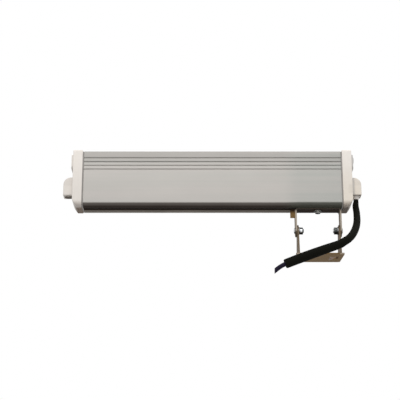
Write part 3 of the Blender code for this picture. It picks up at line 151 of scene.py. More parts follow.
# Soft rectangular lamps: name, place, target, width, height, power and colour
LAMP_TARGET = (-0.2, 0.0, 0.15)
LAMPS = (
    ("key", (-0.4, -2.35, 1.9), LAMP_TARGET, 2.2, 1.6, 33.0, (1.0, 0.985, 0.96)),
    ("top", (0.3, 0.5, 2.2), LAMP_TARGET, 1.8, 1.4, 14.0, (0.97, 0.985, 1.0)),
    ("side", (2.4, -0.2, 0.9), (0.0, 0.0, 0.15), 1.4, 1.4, 5.0, (1.0, 0.99, 0.97)),
)


def length_setting(name, default, description):
    """A size setting, in metres."""
    return bpy.props.FloatProperty(
        name=name, description=description, default=default, subtype="DISTANCE"
    )


def colour_setting(name, default, description):
    """A colour setting."""
    return bpy.props.FloatVectorProperty(
        name=name, description=description, default=default, subtype="COLOR", size=3
    )


class FloodlightSizes(bpy.types.PropertyGroup):
    """Sizes of the drawn surfaces, in metres."""

    corner_radius: length_setting("Corner radius", 0.006, "Radius of the housing's lower corners")
    groove_width: length_setting(
        "Groove width", 0.0022, "Width of the fine grooves in the housing's sides"
    )
    groove_depth: length_setting(
        "Groove depth", 0.0020, "Depth of the fine grooves in the housing's sides"
    )
    cable_radius: length_setting("Cable radius", 0.0043, "Radius of the cable in the sleeve")
    cast_voxel: length_setting("Casting detail", 0.0007, "Cell size of the rounded castings")
    sheet_edge: length_setting("Sheet edge", 0.0004, "Rounding of the bracket's cut edges")


class FloodlightColours(bpy.types.PropertyGroup):
    """Base colours of the main finishes."""

    face: colour_setting("Face", (0.42, 0.41, 0.39), "Satin aluminium of the housing's sides")
    # Painted shade: the base colour darkens the housing's underside, where shade falls.
    base: colour_setting("Base", (0.022, 0.017, 0.014), "Dark finish of the housing's base")
    paint: colour_setting("Cap paint", (0.88, 0.83, 0.78), "Off-white paint of the castings")
    bracket: colour_setting("Bracket", (0.155, 0.118, 0.080), "Brown-toned stainless sheet")
    sleeve: colour_setting("Sleeve", (0.0050, 0.0050, 0.0035), "Black sleeve of the lead")
    cable: colour_setting("Cable", (0.010, 0.006, 0.022), "Navy sheath of the cable")


def sizes():
    """The size settings."""
    return bpy.context.scene.floodlight_sizes


def colours():
    """The colour settings."""
    return bpy.context.scene.floodlight_colours


# Shader arithmetic


class Signal:
    """A shader output that takes part in arithmetic."""

    def __init__(self, finish, output):
        self.finish = finish
        self.output = output

    def maths(self, operation, *values):
        """One Math node on these values."""
        inputs = dict(enumerate(values))
        return self.finish.node("ShaderNodeMath", {"operation": operation}, inputs)

    def __add__(self, other):
        return self.maths("ADD", self, other)

    def __radd__(self, other):
        return self.maths("ADD", other, self)

    def __sub__(self, other):
        return self.maths("SUBTRACT", self, other)

    def __rsub__(self, other):
        return self.maths("SUBTRACT", other, self)

    def __mul__(self, other):
        return self.maths("MULTIPLY", self, other)

    def __rmul__(self, other):
        return self.maths("MULTIPLY", other, self)

    def larger(self, other):
        """The larger of two values."""
        return self.maths("MAXIMUM", self, other)

    def smaller(self, other):
        """The smaller of two values."""
        return self.maths("MINIMUM", self, other)

    def size(self):
        """The value without its sign."""
        return self.maths("ABSOLUTE", self)

    def wave(self):
        """The sine of this many whole turns."""
        return self.maths("SINE", self * math.tau)

    def rise(self, low, high):
        """0 below low, 1 above high, and a smooth step between."""
        return self.finish.node(
            "ShaderNodeMapRange",
            {"interpolation_type": "SMOOTHSTEP", "clamp": True},
            {"Value": self, "From Min": low, "From Max": high},
        )

    def fall(self, low, high):
        """1 below low, 0 above high, and a smooth step between."""
        return 1.0 - self.rise(low, high)

    def within(self, low, full, ebb, high):
        """1 from full to ebb, 0 below low and above high, and smooth steps between."""
        return self.rise(low, full) * self.fall(ebb, high)


class Finish:
    """A material under construction."""

    def __init__(self, name):
        self.material = bpy.data.materials.new(name)
        self.material.use_nodes = True
        self.tree = self.material.node_tree
        self.shader = self.tree.nodes["Principled BSDF"]
        place = self.tree.nodes.new("ShaderNodeTexCoord")
        self.place = Signal(self, place.outputs["Object"])
        self.x, self.y, self.z = self.parts(self.place)

    def parts(self, vector):
        """The three parts of a vector signal."""
        made = self.tree.nodes.new("ShaderNodeSeparateXYZ")
        self.feed(made.inputs[0], vector)
        return tuple(Signal(self, output) for output in made.outputs)

    def feed(self, socket, value):
        """Links a signal to a socket, or sets the socket's own value."""
        if isinstance(value, Signal):
            self.tree.links.new(value.output, socket)
        elif isinstance(value, (tuple, list)) and len(value) == 3 and socket.type == "RGBA":
            socket.default_value = (*value, 1)
        else:
            socket.default_value = value

    def node(self, kind, settings, inputs):
        """A node of any type, with its settings and then its inputs: its first output in use."""
        made = self.tree.nodes.new(kind)
        for name, value in settings.items():
            setattr(made, name, value)
        for name, value in inputs.items():
            self.feed(made.inputs[name], value)
        return Signal(self, next(socket for socket in made.outputs if socket.enabled))

    def stretched(self, per_metre):
        """Object coordinates times this many cells a metre along each axis."""
        return self.node(
            "ShaderNodeVectorMath", {"operation": "MULTIPLY"}, {0: self.place, 1: per_metre}
        )

    def noise(self, per_metre, detail=3.0, roughness=0.5):
        """Cloudy noise between 0 and 1 with this many cells a metre along each axis."""
        inputs = {
            "Vector": self.stretched(per_metre),
            "Scale": 1.0,
            "Detail": detail,
            "Roughness": roughness,
        }
        return self.node("ShaderNodeTexNoise", {}, inputs)

    def even(self, per_metre, detail=3.0, roughness=0.5):
        """Noise with the same number of cells a metre along every axis."""
        return self.noise((per_metre,) * 3, detail, roughness)

    def blend(self, share, first, second):
        """A colour between two, by this share of the second."""
        made = self.tree.nodes.new("ShaderNodeMix")
        made.data_type = "RGBA"
        self.feed(made.inputs[0], share)
        self.feed(made.inputs[6], first)
        self.feed(made.inputs[7], second)
        return Signal(self, made.outputs[2])

    def shaded(self, colour, amount):
        """A colour times a brightness signal."""
        return self.node(
            "ShaderNodeVectorMath", {"operation": "SCALE"}, {0: colour, "Scale": amount}
        )

    def relief(self, height, distance):
        """A bump from a height signal, this deep in metres."""
        inputs = {"Height": height, "Distance": distance, "Strength": 1.0}
        return self.node("ShaderNodeBump", {}, inputs)

    def done(self, **inputs):
        """Sets the shader's inputs, named in lower case with underscores: the finished material."""
        for name, value in inputs.items():
            label = name.replace("_", " ").title().replace("Ior", "IOR")
            self.feed(self.shader.inputs[label], value)
        return self.material


def tone(colour, factor):
    """A colour times a number."""
    return tuple(channel * factor for channel in colour)


def tinted(colour, red, green, blue):
    """A colour with each channel times a factor of its own."""
    return (colour[0] * red, colour[1] * green, colour[2] * blue)


def side_tone(mine, lines, bands, cloud, cool):
    """The housing's sides: soft bands with height, a shade darker above two levels near the top,
    painted light on the grooves' floors, and cooler towards the lead's end."""
    face = tuple(colours().face)
    cool_face = tinted(face, 0.90, 0.93, 0.93)
    warm_face = tinted(face, 1.03, 0.97, 0.98)
    shoulder, rim, lowest_groove = TOP_Z - 0.0260, TOP_Z - 0.0130, TOP_Z - 0.0410
    bright = 0.765 + 0.09 * lines + 0.15 * bands + 0.06 * cloud
    bright = bright - 0.08 * mine.z.rise(shoulder, shoulder + 0.0015)
    bright = bright - (0.125 - 0.08 * cool) * mine.z.rise(rim, rim + 0.0010)
    # Painted light on the grooves' floors, which lightens their shade.
    groove_painted_light = mine.y.size().fall(SIDE_Y - 0.0010, SIDE_Y - 0.0004)
    bright = bright + 0.22 * groove_painted_light * mine.z.rise(lowest_groove, lowest_groove + 0.0010)
    side = mine.blend(cool, face, cool_face)
    side = mine.blend(bands.rise(0.35, 0.65) * 0.35, side, warm_face)
    return mine.shaded(side, bright)


def base_painted_shade(mine, cloud, cool):
    """The housing's base, painted shade for the shade underneath, from front to back: corner, dark
    front strip, darker slot, the slot's rear lip, and a paler rear strip of painted light."""
    warm_corner, cool_corner = (0.13, 0.115, 0.105), (0.115, 0.115, 0.100)
    warm_front, cool_front = (0.040, 0.031, 0.026), (0.072, 0.072, 0.058)
    slot_shade = tone(colours().base, 0.6)
    lip_shade_brown, rear_strip_light = (0.060, 0.045, 0.036), (0.26, 0.235, 0.21)
    # Painted shade: these colours darken the base; the paler rear strip is painted light.
    corner = mine.blend(cool, warm_corner, cool_corner)
    front = mine.blend(cool, warm_front, cool_front)
    dark = mine.blend(mine.y.rise(-0.027, -0.020), corner, front)
    dark = mine.blend(mine.y.rise(-0.019, -0.006), dark, slot_shade)
    dark = mine.blend(mine.y.rise(0.0038, 0.0044), dark, lip_shade_brown)
    dark = mine.blend(mine.y.rise(0.0050, 0.0095), dark, rear_strip_light)
    return mine.shaded(dark, 0.75 + 0.5 * cloud)


def extrusion_finish():
    """Satin anodised sides with drawing lines along the length, and painted shade on the base below
    the lower corner, which starts a little higher near the lead's end."""
    mine = Finish("satin_extrusion")
    lines = mine.noise((3.0, 420.0, 420.0), 2.0, 0.6)
    bands = mine.noise((1.2, 3.0, 62.0), 2.0, 0.5)
    cloud = mine.noise((14.0, 14.0, 30.0), 3.0, 0.5)
    grain = mine.noise((900.0, 2600.0, 2600.0), 2.0, 0.7)
    cool = mine.x.rise(-0.075, -0.035)
    # Painted shade: the share of the base's dark colours below the lower corner.
    under = (mine.z - BASE_Z - 0.0007 * cool).fall(0.0038, 0.0073)
    side = side_tone(mine, lines, bands, cloud, cool)
    return mine.done(
        base_color=mine.blend(under, side, base_painted_shade(mine, cloud, cool)),
        roughness=0.44 + 0.10 * lines + 0.06 * grain,
        metallic=0.80 - 0.80 * under,
        specular_ior_level=0.02,
        normal=mine.relief(lines + 0.4 * grain, 0.00002),
    )


def paint_tone(mine, cloud, streak, beyond, lead_side):
    """A casting's paint: paler towards the top and mottled low down, with painted shade on the
    elbow's crown, and on the lead's side yellower, with painted shade beside the elbow towards the
    cap's outer edge."""
    paint = tuple(colours().paint)
    aged = tinted(paint, 0.98, 0.955, 0.90)
    up, over_entry = mine.z - BASE_Z, mine.z - ENTRY.z
    proud = beyond.rise(0.0004, 0.0010)
    high = up.rise(0.020, TOP_Z - BASE_Z)
    clean = mine.shaded(paint, 0.90 + 0.10 * high + 0.07 * cloud + 0.05 * streak)
    yellowed = lead_side * mine.z.fall(BASE_Z + 0.015, TOP_Z - 0.005)
    clean = mine.blend(yellowed, clean, mine.shaded(aged, 0.97 + 0.07 * cloud))
    mottle = up.fall(0.020, 0.060) * streak.rise(0.50, 0.75)
    clean = mine.blend(mottle * 0.35, clean, tone(paint, 0.80))
    # Painted shade beside the elbow, towards the cap's outer edge.
    outer_edge_shade = lead_side * over_entry.within(-0.0020, 0.0, 0.0150, 0.0200)
    outer_edge_shade = outer_edge_shade * beyond.rise(-0.0120, -0.0030)
    # Painted shade on the elbow's crown.
    crown = proud * over_entry.within(0.0170, 0.0230, 0.0400, 0.0440)
    return mine.shaded(clean, 1.0 - 0.07 * crown - (0.08 - 0.06 * proud) * outer_edge_shade)


def paint_shade_and_soil(mine, clean, cloud, beyond, lead_side):
    """A casting's painted shade and soil: brown painted shade underneath, heavier towards the back,
    a greyer elbow root and a nearly black low rear corner on the lead's side as painted shade,
    painted shade and dirt under the elbow, and darker grey at the pad's lower end."""
    root_shade_grey, heel_grey = (0.46, 0.46, 0.47), (0.20, 0.185, 0.17)
    underside_shade_brown, corner_shade_brown = (0.125, 0.078, 0.046), (0.066, 0.038, 0.018)
    elbow_shade_and_soil = (0.15, 0.12, 0.10)
    pad_low = TOP_Z - 0.0330
    up = mine.z - BASE_Z
    proud = beyond.rise(0.0004, 0.0010)
    # Painted shade in the elbow's root, where it meets the cap.
    root = proud * beyond.fall(0.0040, 0.0075) * lead_side
    colour = mine.blend(root * 0.52, clean, root_shade_grey)
    heel = proud * (mine.z - pad_low).within(-0.0030, 0.0, 0.0020, 0.0090)
    colour = mine.blend(heel * (0.25 + 0.5 * cloud), colour, heel_grey)
    # Painted shade underneath, heavier towards the back and on the lead's side.
    heavy = 0.42 + 0.58 * mine.y.rise(-0.026, 0.002) + 0.14 * lead_side
    underside_shade = up.fall(0.0015, 0.0120) * heavy * (0.74 + 0.55 * cloud)
    colour = mine.blend(underside_shade.smaller(0.95), colour, underside_shade_brown)
    # Painted shade in the low rear corner on the lead's side.
    corner = lead_side * up.fall(0.0005, 0.0050) * mine.y.rise(-0.015, -0.005)
    colour = mine.blend(corner * 0.80, colour, corner_shade_brown)
    # Painted shade and dirt under the elbow.
    elbow = proud * (mine.z - ENTRY.z).fall(0.0003, 0.0020)
    return mine.blend(elbow * (0.30 + 0.55 * lead_side), colour, elbow_shade_and_soil)


def casting_finish():
    """Off-white paint on a casting, with fine peel, faint mottling, painted shade low down and
    round the elbow, and some dirt under the elbow.
    """
    mine = Finish("cast_paint")
    peel = mine.even(1300.0, 2.0, 0.5)
    cloud = mine.noise((60.0, 60.0, 45.0), 4.0, 0.6)
    streak = mine.noise((220.0, 220.0, 25.0), 3.0, 0.6)
    beyond = (mine.x - MIDDLE_X).size() - CAP_FACE
    lead_side = mine.x.rise(-0.01, 0.01)
    clean = paint_tone(mine, cloud, streak, beyond, lead_side)
    return mine.done(
        base_color=paint_shade_and_soil(mine, clean, cloud, beyond, lead_side),
        roughness=0.48 + 0.12 * cloud,
        normal=mine.relief(peel + 0.5 * cloud, 0.00006),
        specular_ior_level=0.30,
        coat_weight=0.05,
    )


def sheet_marks(mine, base, cloud):
    """The foot plate's marks: heat tint above by the welds, and below it a rubbed patch beside
    each slot, a dark spot next to it and a bare front corner."""
    weld_brown, bare_steel = (0.11, 0.048, 0.012), (0.62, 0.56, 0.48)
    rubbed_steel, spot_brown = (0.290, 0.225, 0.190), (0.062, 0.026, 0.004)
    slot_end, slant = 0.0205, 1.3
    across = mine.x.size()
    weld = across.within(0.0260, 0.0320, 0.0365, 0.0400) * cloud.rise(0.46, 0.60)
    weld = weld * mine.z.fall(0.0020, 0.0100) * mine.z.rise(0.0024, 0.0034)
    base = mine.blend(weld * 0.85, base, weld_brown)
    flat = mine.z.fall(0.0024, PLATE_THICK)
    rub = flat * across.within(0.0190, slot_end, 0.0325, 0.0345) * mine.y.rise(-0.0100, -0.0070)
    rub = rub * (mine.y + slant * (across - slot_end)).fall(0.0130, 0.0170)
    base = mine.blend(rub, base, mine.shaded(rubbed_steel, 0.75 + 0.50 * cloud))
    spot = flat * across.within(0.0318, 0.0332, 0.0362, 0.0378)
    spot = spot * mine.y.within(-0.0120, -0.0095, 0.0020, 0.0050)
    base = mine.blend(spot * 0.9, base, spot_brown)
    corner = flat * mine.y.fall(-0.0278, -0.0270) * across.rise(0.0375, 0.0395)
    return mine.blend(corner * 0.5, base, bare_steel)


def sheet_finish(name, colour, half_depth, web_z):
    """Brown-toned stainless sheet: brushed grain and smudges, a warmer foot plate, cut front edges
    made bright by a painted highlight, a web made dark above one level by painted shade, a rusty
    ear darkened towards its top by painted shade, and the foot plate's marks."""
    warm = tinted(colour, 1.28, 1.10, 0.78)
    web_shade_dark, front_edge_highlight = (0.030, 0.018, 0.012), (0.44, 0.39, 0.33)
    rust_low, rust_in_shade = (0.17, 0.105, 0.042), (0.030, 0.017, 0.010)

    mine = Finish(name)
    brushed = mine.noise((260.0, 260.0, 18.0), 3.0, 0.65)
    cloud = mine.noise((48.0, 70.0, 48.0), 4.0, 0.6)
    fine = mine.noise((1500.0, 1500.0, 300.0), 2.0, 0.6)
    smudged = 0.60 + 0.60 * cloud + 0.20 * brushed
    plate = mine.z.fall(PLATE_THICK, PLATE_THICK + 0.0015)
    base = mine.blend(plate, mine.shaded(colour, smudged), mine.shaded(warm, smudged))
    # Painted shade: the web above this level is nearly black.
    web = (mine.z - web_z).rise(0.0, 0.004)
    base = mine.blend(web, base, web_shade_dark)
    ear = mine.x.fall(-0.0464, -0.0458)
    # Painted shade: the ear's rust darkens towards its top, under the housing.
    rust = mine.blend((mine.z - BASE_Z).rise(-0.014, -0.006), rust_low, rust_in_shade)
    base = mine.blend(ear, base, mine.shaded(rust, 0.7 + 0.6 * cloud))
    # Painted highlight: the cut front edges, which face the lamps, are lighter than the sheet.
    cut = (mine.y + half_depth).fall(0.0002, 0.0009) * (1.0 - 0.75 * web)
    cut = cut * mine.z.rise(0.0045, 0.0065) * (1.0 - ear)
    base = mine.blend(cut * (0.5 + 0.6 * brushed), base, front_edge_highlight)
    return mine.done(
        base_color=sheet_marks(mine, base, cloud),
        roughness=0.42 + 0.22 * cloud + 0.06 * fine,
        metallic=0.50 - 0.50 * web,
        specular_ior_level=0.02,
        normal=mine.relief(brushed + 0.5 * fine, 0.00003),
    )


def turned_steel(mine):
    """Two noises for turned fasteners: their smudges and their fine turning marks."""
    return mine.even(380.0, 4.0, 0.6), mine.even(2600.0, 2.0, 0.5)


def bolt_finish(name, centre, bright, dark, span=(-1.0, 1.0)):
    """Fasteners with turning marks and smudges: a painted highlight where their height is near a
    centre's and their X lies in a span, and a dark painted reflection elsewhere."""
    soft = 0.0004
    mine = Finish(name)
    cloud, fine = turned_steel(mine)
    # Painted dark reflection outside the highlight's height band and span.
    dark_reflection = (mine.z - centre).size().rise(0.0024, 0.0040)
    dark_reflection = dark_reflection.larger(mine.x.fall(span[0] - soft, span[0] + soft))
    dark_reflection = dark_reflection.larger(mine.x.rise(span[1] - soft, span[1] + soft))
    # Painted highlight: the bright colour in the band.
    rubbed = mine.shaded(bright, 0.6 + 0.7 * cloud)
    return mine.done(
        base_color=mine.blend(dark_reflection, rubbed, mine.shaded(dark, 0.6 + 0.8 * cloud)),
        roughness=0.22 + 0.22 * cloud,
        metallic=0.95 - 0.55 * dark_reflection,
        specular_ior_level=0.2,
        normal=mine.relief(fine, 0.00003),
    )


def web_bolt_finish(low):
    """A dark flanged hex head above this level, with a painted highlight on the flange's front rim
    and a brighter one in a band across its front flats."""
    dark_steel, bare_steel = (0.018, 0.019, 0.017), (0.95, 0.95, 0.88)
    mine = Finish("web_bolt_steel")
    cloud, fine = turned_steel(mine)
    across, above = mine.x.size(), mine.z - low
    # Painted highlights: the flange's front rim and a band across the front flats.
    rim = across.fall(0.0064, 0.0072) * mine.y.fall(-0.0056, -0.0050) * above.rise(0.0036, 0.0039)
    band = across.fall(0.0044, 0.0050) * mine.y.fall(-0.0026, -0.0018)
    band = band * above.within(0.0009, 0.0013, 0.0023, 0.0027)
    rubbed = band.larger(0.45 * rim)
    colour = mine.blend(rubbed, dark_steel, bare_steel)
    return mine.done(
        base_color=mine.shaded(colour, 0.8 + 0.4 * cloud),
        roughness=0.28 + 0.22 * cloud,
        metallic=0.25 + 0.20 * rubbed,
        specular_ior_level=0.1,
        normal=mine.relief(fine, 0.00003),
    )


def screw_finish():
    """Bright inner screws with turning marks and small dark smudges."""
    mine = Finish("bright_screw")
    cloud, fine = turned_steel(mine)
    return mine.done(
        base_color=mine.shaded((0.36, 0.365, 0.36), 0.55 + 0.75 * cloud),
        roughness=0.22 + 0.22 * cloud,
        metallic=0.95,
        normal=mine.relief(fine, 0.00003),
    )


def rubber_finish(name, colour):
    """Dull moulded rubber with a fine skin."""
    mine = Finish(name)
    skin = mine.even(900.0, 3.0, 0.6)
    cloud = mine.even(90.0)
    return mine.done(
        base_color=mine.shaded(colour, 0.75 + 0.5 * cloud),
        roughness=0.62 + 0.2 * skin,
        specular_ior_level=0.25,
        normal=mine.relief(skin, 0.00008),
    )


def braid_finish(name, colour, rings, turns):
    """A sleeve of fine crossed strands, from the piece's own map: u along it and v round it.

    The weave is the larger of two waves, one for each way in which the strands turn.
    """
    mine = Finish(name)
    along, around, _ = mine.parts(mine.node("ShaderNodeUVMap", {"uv_map": "run"}, {}))
    one = (along * rings + around * turns).wave()
    two = (along * rings - around * turns).wave()
    weave = one.larger(two) * 0.5 + 0.5
    cloud = mine.even(60.0, 3.0, 0.6)
    return mine.done(
        base_color=mine.shaded(colour, 0.55 + 0.7 * weave + 0.35 * cloud),
        roughness=0.62 + 0.18 * weave,
        specular_ior_level=0.05,
        normal=mine.relief(weave, 0.00025),
    )


def sheath_finish(name, colour):
    """Smooth extruded cable sheath with faint length marks."""
    mine = Finish(name)
    marks = mine.noise((30.0, 300.0, 300.0), 2.0, 0.5)
    skin = mine.even(1200.0, 2.0)
    return mine.done(
        base_color=mine.shaded(colour, 0.75 + 0.5 * marks),
        roughness=0.46 + 0.14 * skin,
        specular_ior_level=0.12,
        normal=mine.relief(skin, 0.00004),
    )


def moulded(mine):
    """Two noises for moulded plastic: its spark texture and its soft tone."""
    return mine.even(1700.0, 2.0, 0.6), mine.even(70.0)


def moulding_finish(name, colour, shine):
    """Moulded plastic with a fine spark texture."""
    mine = Finish(name)
    spark, cloud = moulded(mine)
    return mine.done(
        base_color=mine.shaded(colour, 0.88 + 0.22 * cloud),
        roughness=shine + 0.12 * spark,
        normal=mine.relief(spark, 0.00005),
    )


def plug_finish(low):
    """Pale moulded plastic, with dark brown painted shade underneath behind its front rim."""
    front_pale, plug_shade_brown = (0.60, 0.55, 0.50), (0.085, 0.065, 0.050)
    side_pale = (0.52, 0.48, 0.43)
    mine = Finish("shaded_moulding")
    spark, cloud = moulded(mine)
    # Painted shade: the underside behind the front rim is dark brown.
    colour = mine.blend(mine.y.rise(-0.0090, -0.0060), front_pale, plug_shade_brown)
    colour = mine.blend((mine.z - low).rise(0.0006, 0.0012), colour, side_pale)
    return mine.done(
        base_color=mine.shaded(colour, 0.80 + 0.36 * cloud),
        roughness=0.45 + 0.12 * spark,
        normal=mine.relief(spark, 0.00005),
        specular_ior_level=0.2,
    )


def plated_finish(name, colour):
    """Zinc plated sheet with large soft crystals."""
    mine = Finish(name)
    cells = {"Vector": mine.stretched((90.0,) * 3), "Scale": 1.0}
    crystal = mine.node("ShaderNodeTexVoronoi", {}, cells)
    cloud = mine.even(40.0)
    return mine.done(
        base_color=mine.shaded(colour, 0.8 + 0.2 * crystal + 0.15 * cloud),
        roughness=0.34 + 0.14 * crystal,
        metallic=0.9,
    )


def pane_finish():
    """Clear glass under a faint dusty film, which is a share of gloss mixed with a clear layer."""
    mine = Finish("window_pane")
    film = mine.even(28.0, 4.0, 0.6)
    clear = mine.tree.nodes.new("ShaderNodeBsdfTransparent")
    clear.inputs["Color"].default_value = (0.93, 0.96, 0.95, 1)
    mix = mine.tree.nodes.new("ShaderNodeMixShader")
    mine.feed(mix.inputs[0], 0.16 + 0.10 * film)
    mine.tree.links.new(clear.outputs[0], mix.inputs[1])
    mine.tree.links.new(mine.shader.outputs[0], mix.inputs[2])
    mine.tree.links.new(mix.outputs[0], mine.tree.nodes["Material Output"].inputs["Surface"])
    return mine.done(
        base_color=mine.shaded((0.80, 0.86, 0.85), 0.9 + 0.1 * film), roughness=0.05 + 0.10 * film
    )


def optic_finish():
    """Clear moulded optics with a soft pearl tone and 55 cross ribs a metre."""
    mine = Finish("clear_optic")
    ribs = (mine.x * 55.0).wave() * 0.5 + 0.5
    cloud = mine.even(40.0)
    return mine.done(
        base_color=mine.shaded((0.80, 0.82, 0.80), 0.84 + 0.12 * ribs + 0.06 * cloud),
        roughness=0.10 + 0.10 * cloud,
        coat_weight=0.5,
        normal=mine.relief(ribs, 0.0004),
    )


def board_finish():
    """White solder mask with grey traces and yellow diodes in rows."""
    trace_grey, diode_yellow = (0.55, 0.56, 0.50), (0.72, 0.60, 0.16)
    mine = Finish("board_mask")
    cloud = mine.even(50.0)
    across = mine.y.size()
    mask = mine.shaded((0.78, 0.79, 0.77), 0.93 + 0.1 * cloud)
    trace = across.within(0.0070, 0.0074, 0.0086, 0.0090)
    colour = mine.blend(trace * 0.5, mask, trace_grey)
    colour = mine.blend(across.fall(0.0018, 0.0020) * 0.75, colour, diode_yellow)
    return mine.done(base_color=colour, roughness=0.35 + 0.1 * cloud)


# Numpy surfaces


def linked(name, data):
    """An object of this name and data, linked to the scene."""
    made = bpy.data.objects.new(name, data)
    bpy.context.scene.collection.objects.link(made)
    return made


def smoothed(mesh, material, angle):
    """Gives a mesh one material and smooth shading up to an angle in degrees."""
    mesh.shade_smooth()
    mesh.set_sharp_from_angle(angle=math.radians(angle))
    mesh.materials.clear()
    mesh.materials.append(material)


def mesh_piece(name, points, faces, material, angle):
    """An object from arrays of points and faces, shaded smooth up to an angle."""
    mesh = bpy.data.meshes.new(name)
    mesh.from_pydata(points.reshape(-1, 3), [], faces)
    mesh.update()
    smoothed(mesh, material, angle)
    return linked(name, mesh)


def grid_faces(rows, columns):
    """Quads between neighbouring rings: each joins a point to the next one on its ring, and both
    to their fellows on the next ring."""
    row, column = np.meshgrid(np.arange(rows - 1), np.arange(columns), indexing="ij")
    beside = (column + 1) % columns
    first = row * columns + column
    second = row * columns + beside
    third = (row + 1) * columns + beside
    fourth = (row + 1) * columns + column
    return np.stack((first, second, third, fourth), axis=-1).reshape(-1, 4)


def lofted(name, rings, material, angle):
    """Closed rings of equal count joined in order, with a flat face at each end.

    Ring points turn anticlockwise about the way in which the rings follow each other.
    """
    count, columns = rings.shape[:2]
    faces = grid_faces(count, columns).tolist()
    last = (count - 1) * columns
    faces.append(list(range(columns))[::-1])
    faces.append(list(range(last, last + columns)))
    return mesh_piece(name, rings, faces, material, angle)


def bend(centre, radius, start, end, count):
    """An arc: the centre plus the radius times the cosine and sine of evenly spaced angles."""
    angle = np.radians(np.linspace(start, end, count))
    return np.array(centre) + radius * np.column_stack((np.cos(angle), np.sin(angle)))


def mirror_half(half):
    """A closed outline from its half with positive first coordinates, given from bottom to top."""
    return np.vstack((half, half[::-1] * np.array([-1, 1])))


def strides(path):
    """The distances between a path's neighbouring points."""
    return np.linalg.norm(np.diff(path, axis=0), axis=1)


def smooth_path(points, space):
    """A smooth curve through the points: on each stretch, a cubic whose end slopes are the
    chords between the neighbours, divided by the length between them."""
    points = np.asarray(points, float)
    marks = np.concatenate(([0.0], np.cumsum(strides(points))))
    before = np.maximum(np.arange(len(points)) - 1, 0)
    after = np.minimum(np.arange(len(points)) + 1, len(points) - 1)
    slopes = (points[after] - points[before]) / (marks[after] - marks[before])[:, None]
    where = np.linspace(0, marks[-1], max(int(round(marks[-1] / space)), 2) + 1)
    index = np.clip(np.searchsorted(marks, where, side="right") - 1, 0, len(points) - 2)
    long = (marks[index + 1] - marks[index])[:, None]
    t = ((where - marks[index]) / long[:, 0])[:, None]
    return (
        (2 * t**3 - 3 * t**2 + 1) * points[index]
        + (t**3 - 2 * t**2 + t) * long * slopes[index]
        + (3 * t**2 - 2 * t**3) * points[index + 1]
        + (t**3 - t**2) * long * slopes[index + 1]
    )


def path_frame(path):
    """The path's tangent at each point, and two directions across it: the tangent crossed with
    one fixed direction, and the tangent crossed with that."""
    tangent = np.gradient(path, axis=0)
    tangent /= np.linalg.norm(tangent, axis=1)[:, None]
    fixed = np.array([1.0, 0.0, -1.0]) / math.sqrt(2)
    first = np.cross(tangent, fixed)
    first /= np.linalg.norm(first, axis=1)[:, None]
    return tangent, first, np.cross(tangent, first)


def pipe_rings(path, radii, sides):
    """Circles about the path's points and square to it: each ring is its point plus its radius
    times the cosine and sine of evenly spaced turns along the two directions across the path."""
    _, first, second = path_frame(path)
    turn = np.linspace(0, math.tau, sides, endpoint=False)
    circle = np.cos(turn)[None, :, None] * first[:, None]
    circle = circle + np.sin(turn)[None, :, None] * second[:, None]
    return path[:, None] + circle * np.asarray(radii, float)[:, None, None]


def run_map(piece, rows, columns, long):
    """A map named run: u is the distance along the rings, and v the share of a turn.

    On the quads that close the rings, v ends at 1 instead of going back to 0.
    """
    mesh = piece.data
    layer = mesh.uv_layers.new(name="run")
    loops = np.empty(len(mesh.loops), np.int32)
    mesh.loops.foreach_get("vertex_index", loops)
    u = (loops // columns) / (rows - 1) * long
    v = (loops % columns) / columns
    start = np.empty(len(mesh.polygons), np.int32)
    total = np.empty(len(mesh.polygons), np.int32)
    mesh.polygons.foreach_get("loop_start", start)
    mesh.polygons.foreach_get("loop_total", total)
    quads = start[total == 4][:, None] + np.arange(4)
    seam = quads[np.ptp(loops[quads] % columns, axis=1) > 1]
    v[seam] = np.where(v[seam] == 0, 1.0, v[seam])
    layer.data.foreach_set("uv", np.column_stack((u, v)).astype(np.float32).ravel())


def merged_mesh(node, name, flatten):
    """A copy of a CAD node's mesh with doubled points merged, and flat faces joined if asked."""
    work = bmesh.new()
    work.from_mesh(frame["nodes"][node].data)
    bmesh.ops.remove_doubles(work, verts=work.verts, dist=MERGE)
    if flatten:
        flat = math.radians(1.0)
        bmesh.ops.dissolve_limit(work, angle_limit=flat, verts=work.verts, edges=work.edges)
    mesh = bpy.data.meshes.new(name)
    work.to_mesh(mesh)
    work.free()
    return mesh


def refined(node, material, edge):
    """A merged copy of a CAD node with its flat faces joined and its edges rounded."""
    sharp = 35.0
    mesh = merged_mesh(node, node + "_fine", True)
    smoothed(mesh, material, sharp)
    made = linked(node + "_fine", mesh)
    bevel = made.modifiers.new("edges", "BEVEL")
    bevel.width = edge
    bevel.segments = 2
    bevel.limit_method = "ANGLE"
    bevel.angle_limit = math.radians(sharp)
    place_piece(made, node)


def refine_all(material, edge, *starts):
    """A refined copy of every CAD node whose name starts so."""
    for node in names_with(*starts):
        refined(node, material, edge)


def place_piece(piece, node):
    """Rides a piece on its node's body and hides the node."""
    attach(piece, frame["nodes"][node]["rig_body"])
    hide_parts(node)


def dress(material, *nodes):
    """Gives carried-over CAD nodes a material."""
    for node in nodes:
        slots = frame["nodes"][node].data.materials
        slots.clear()
        slots.append(material)


def names_with(*starts):
    """The CAD nodes whose names start so, in order."""
    return sorted(name for name in frame["nodes"] if name.startswith(starts))


# Stage


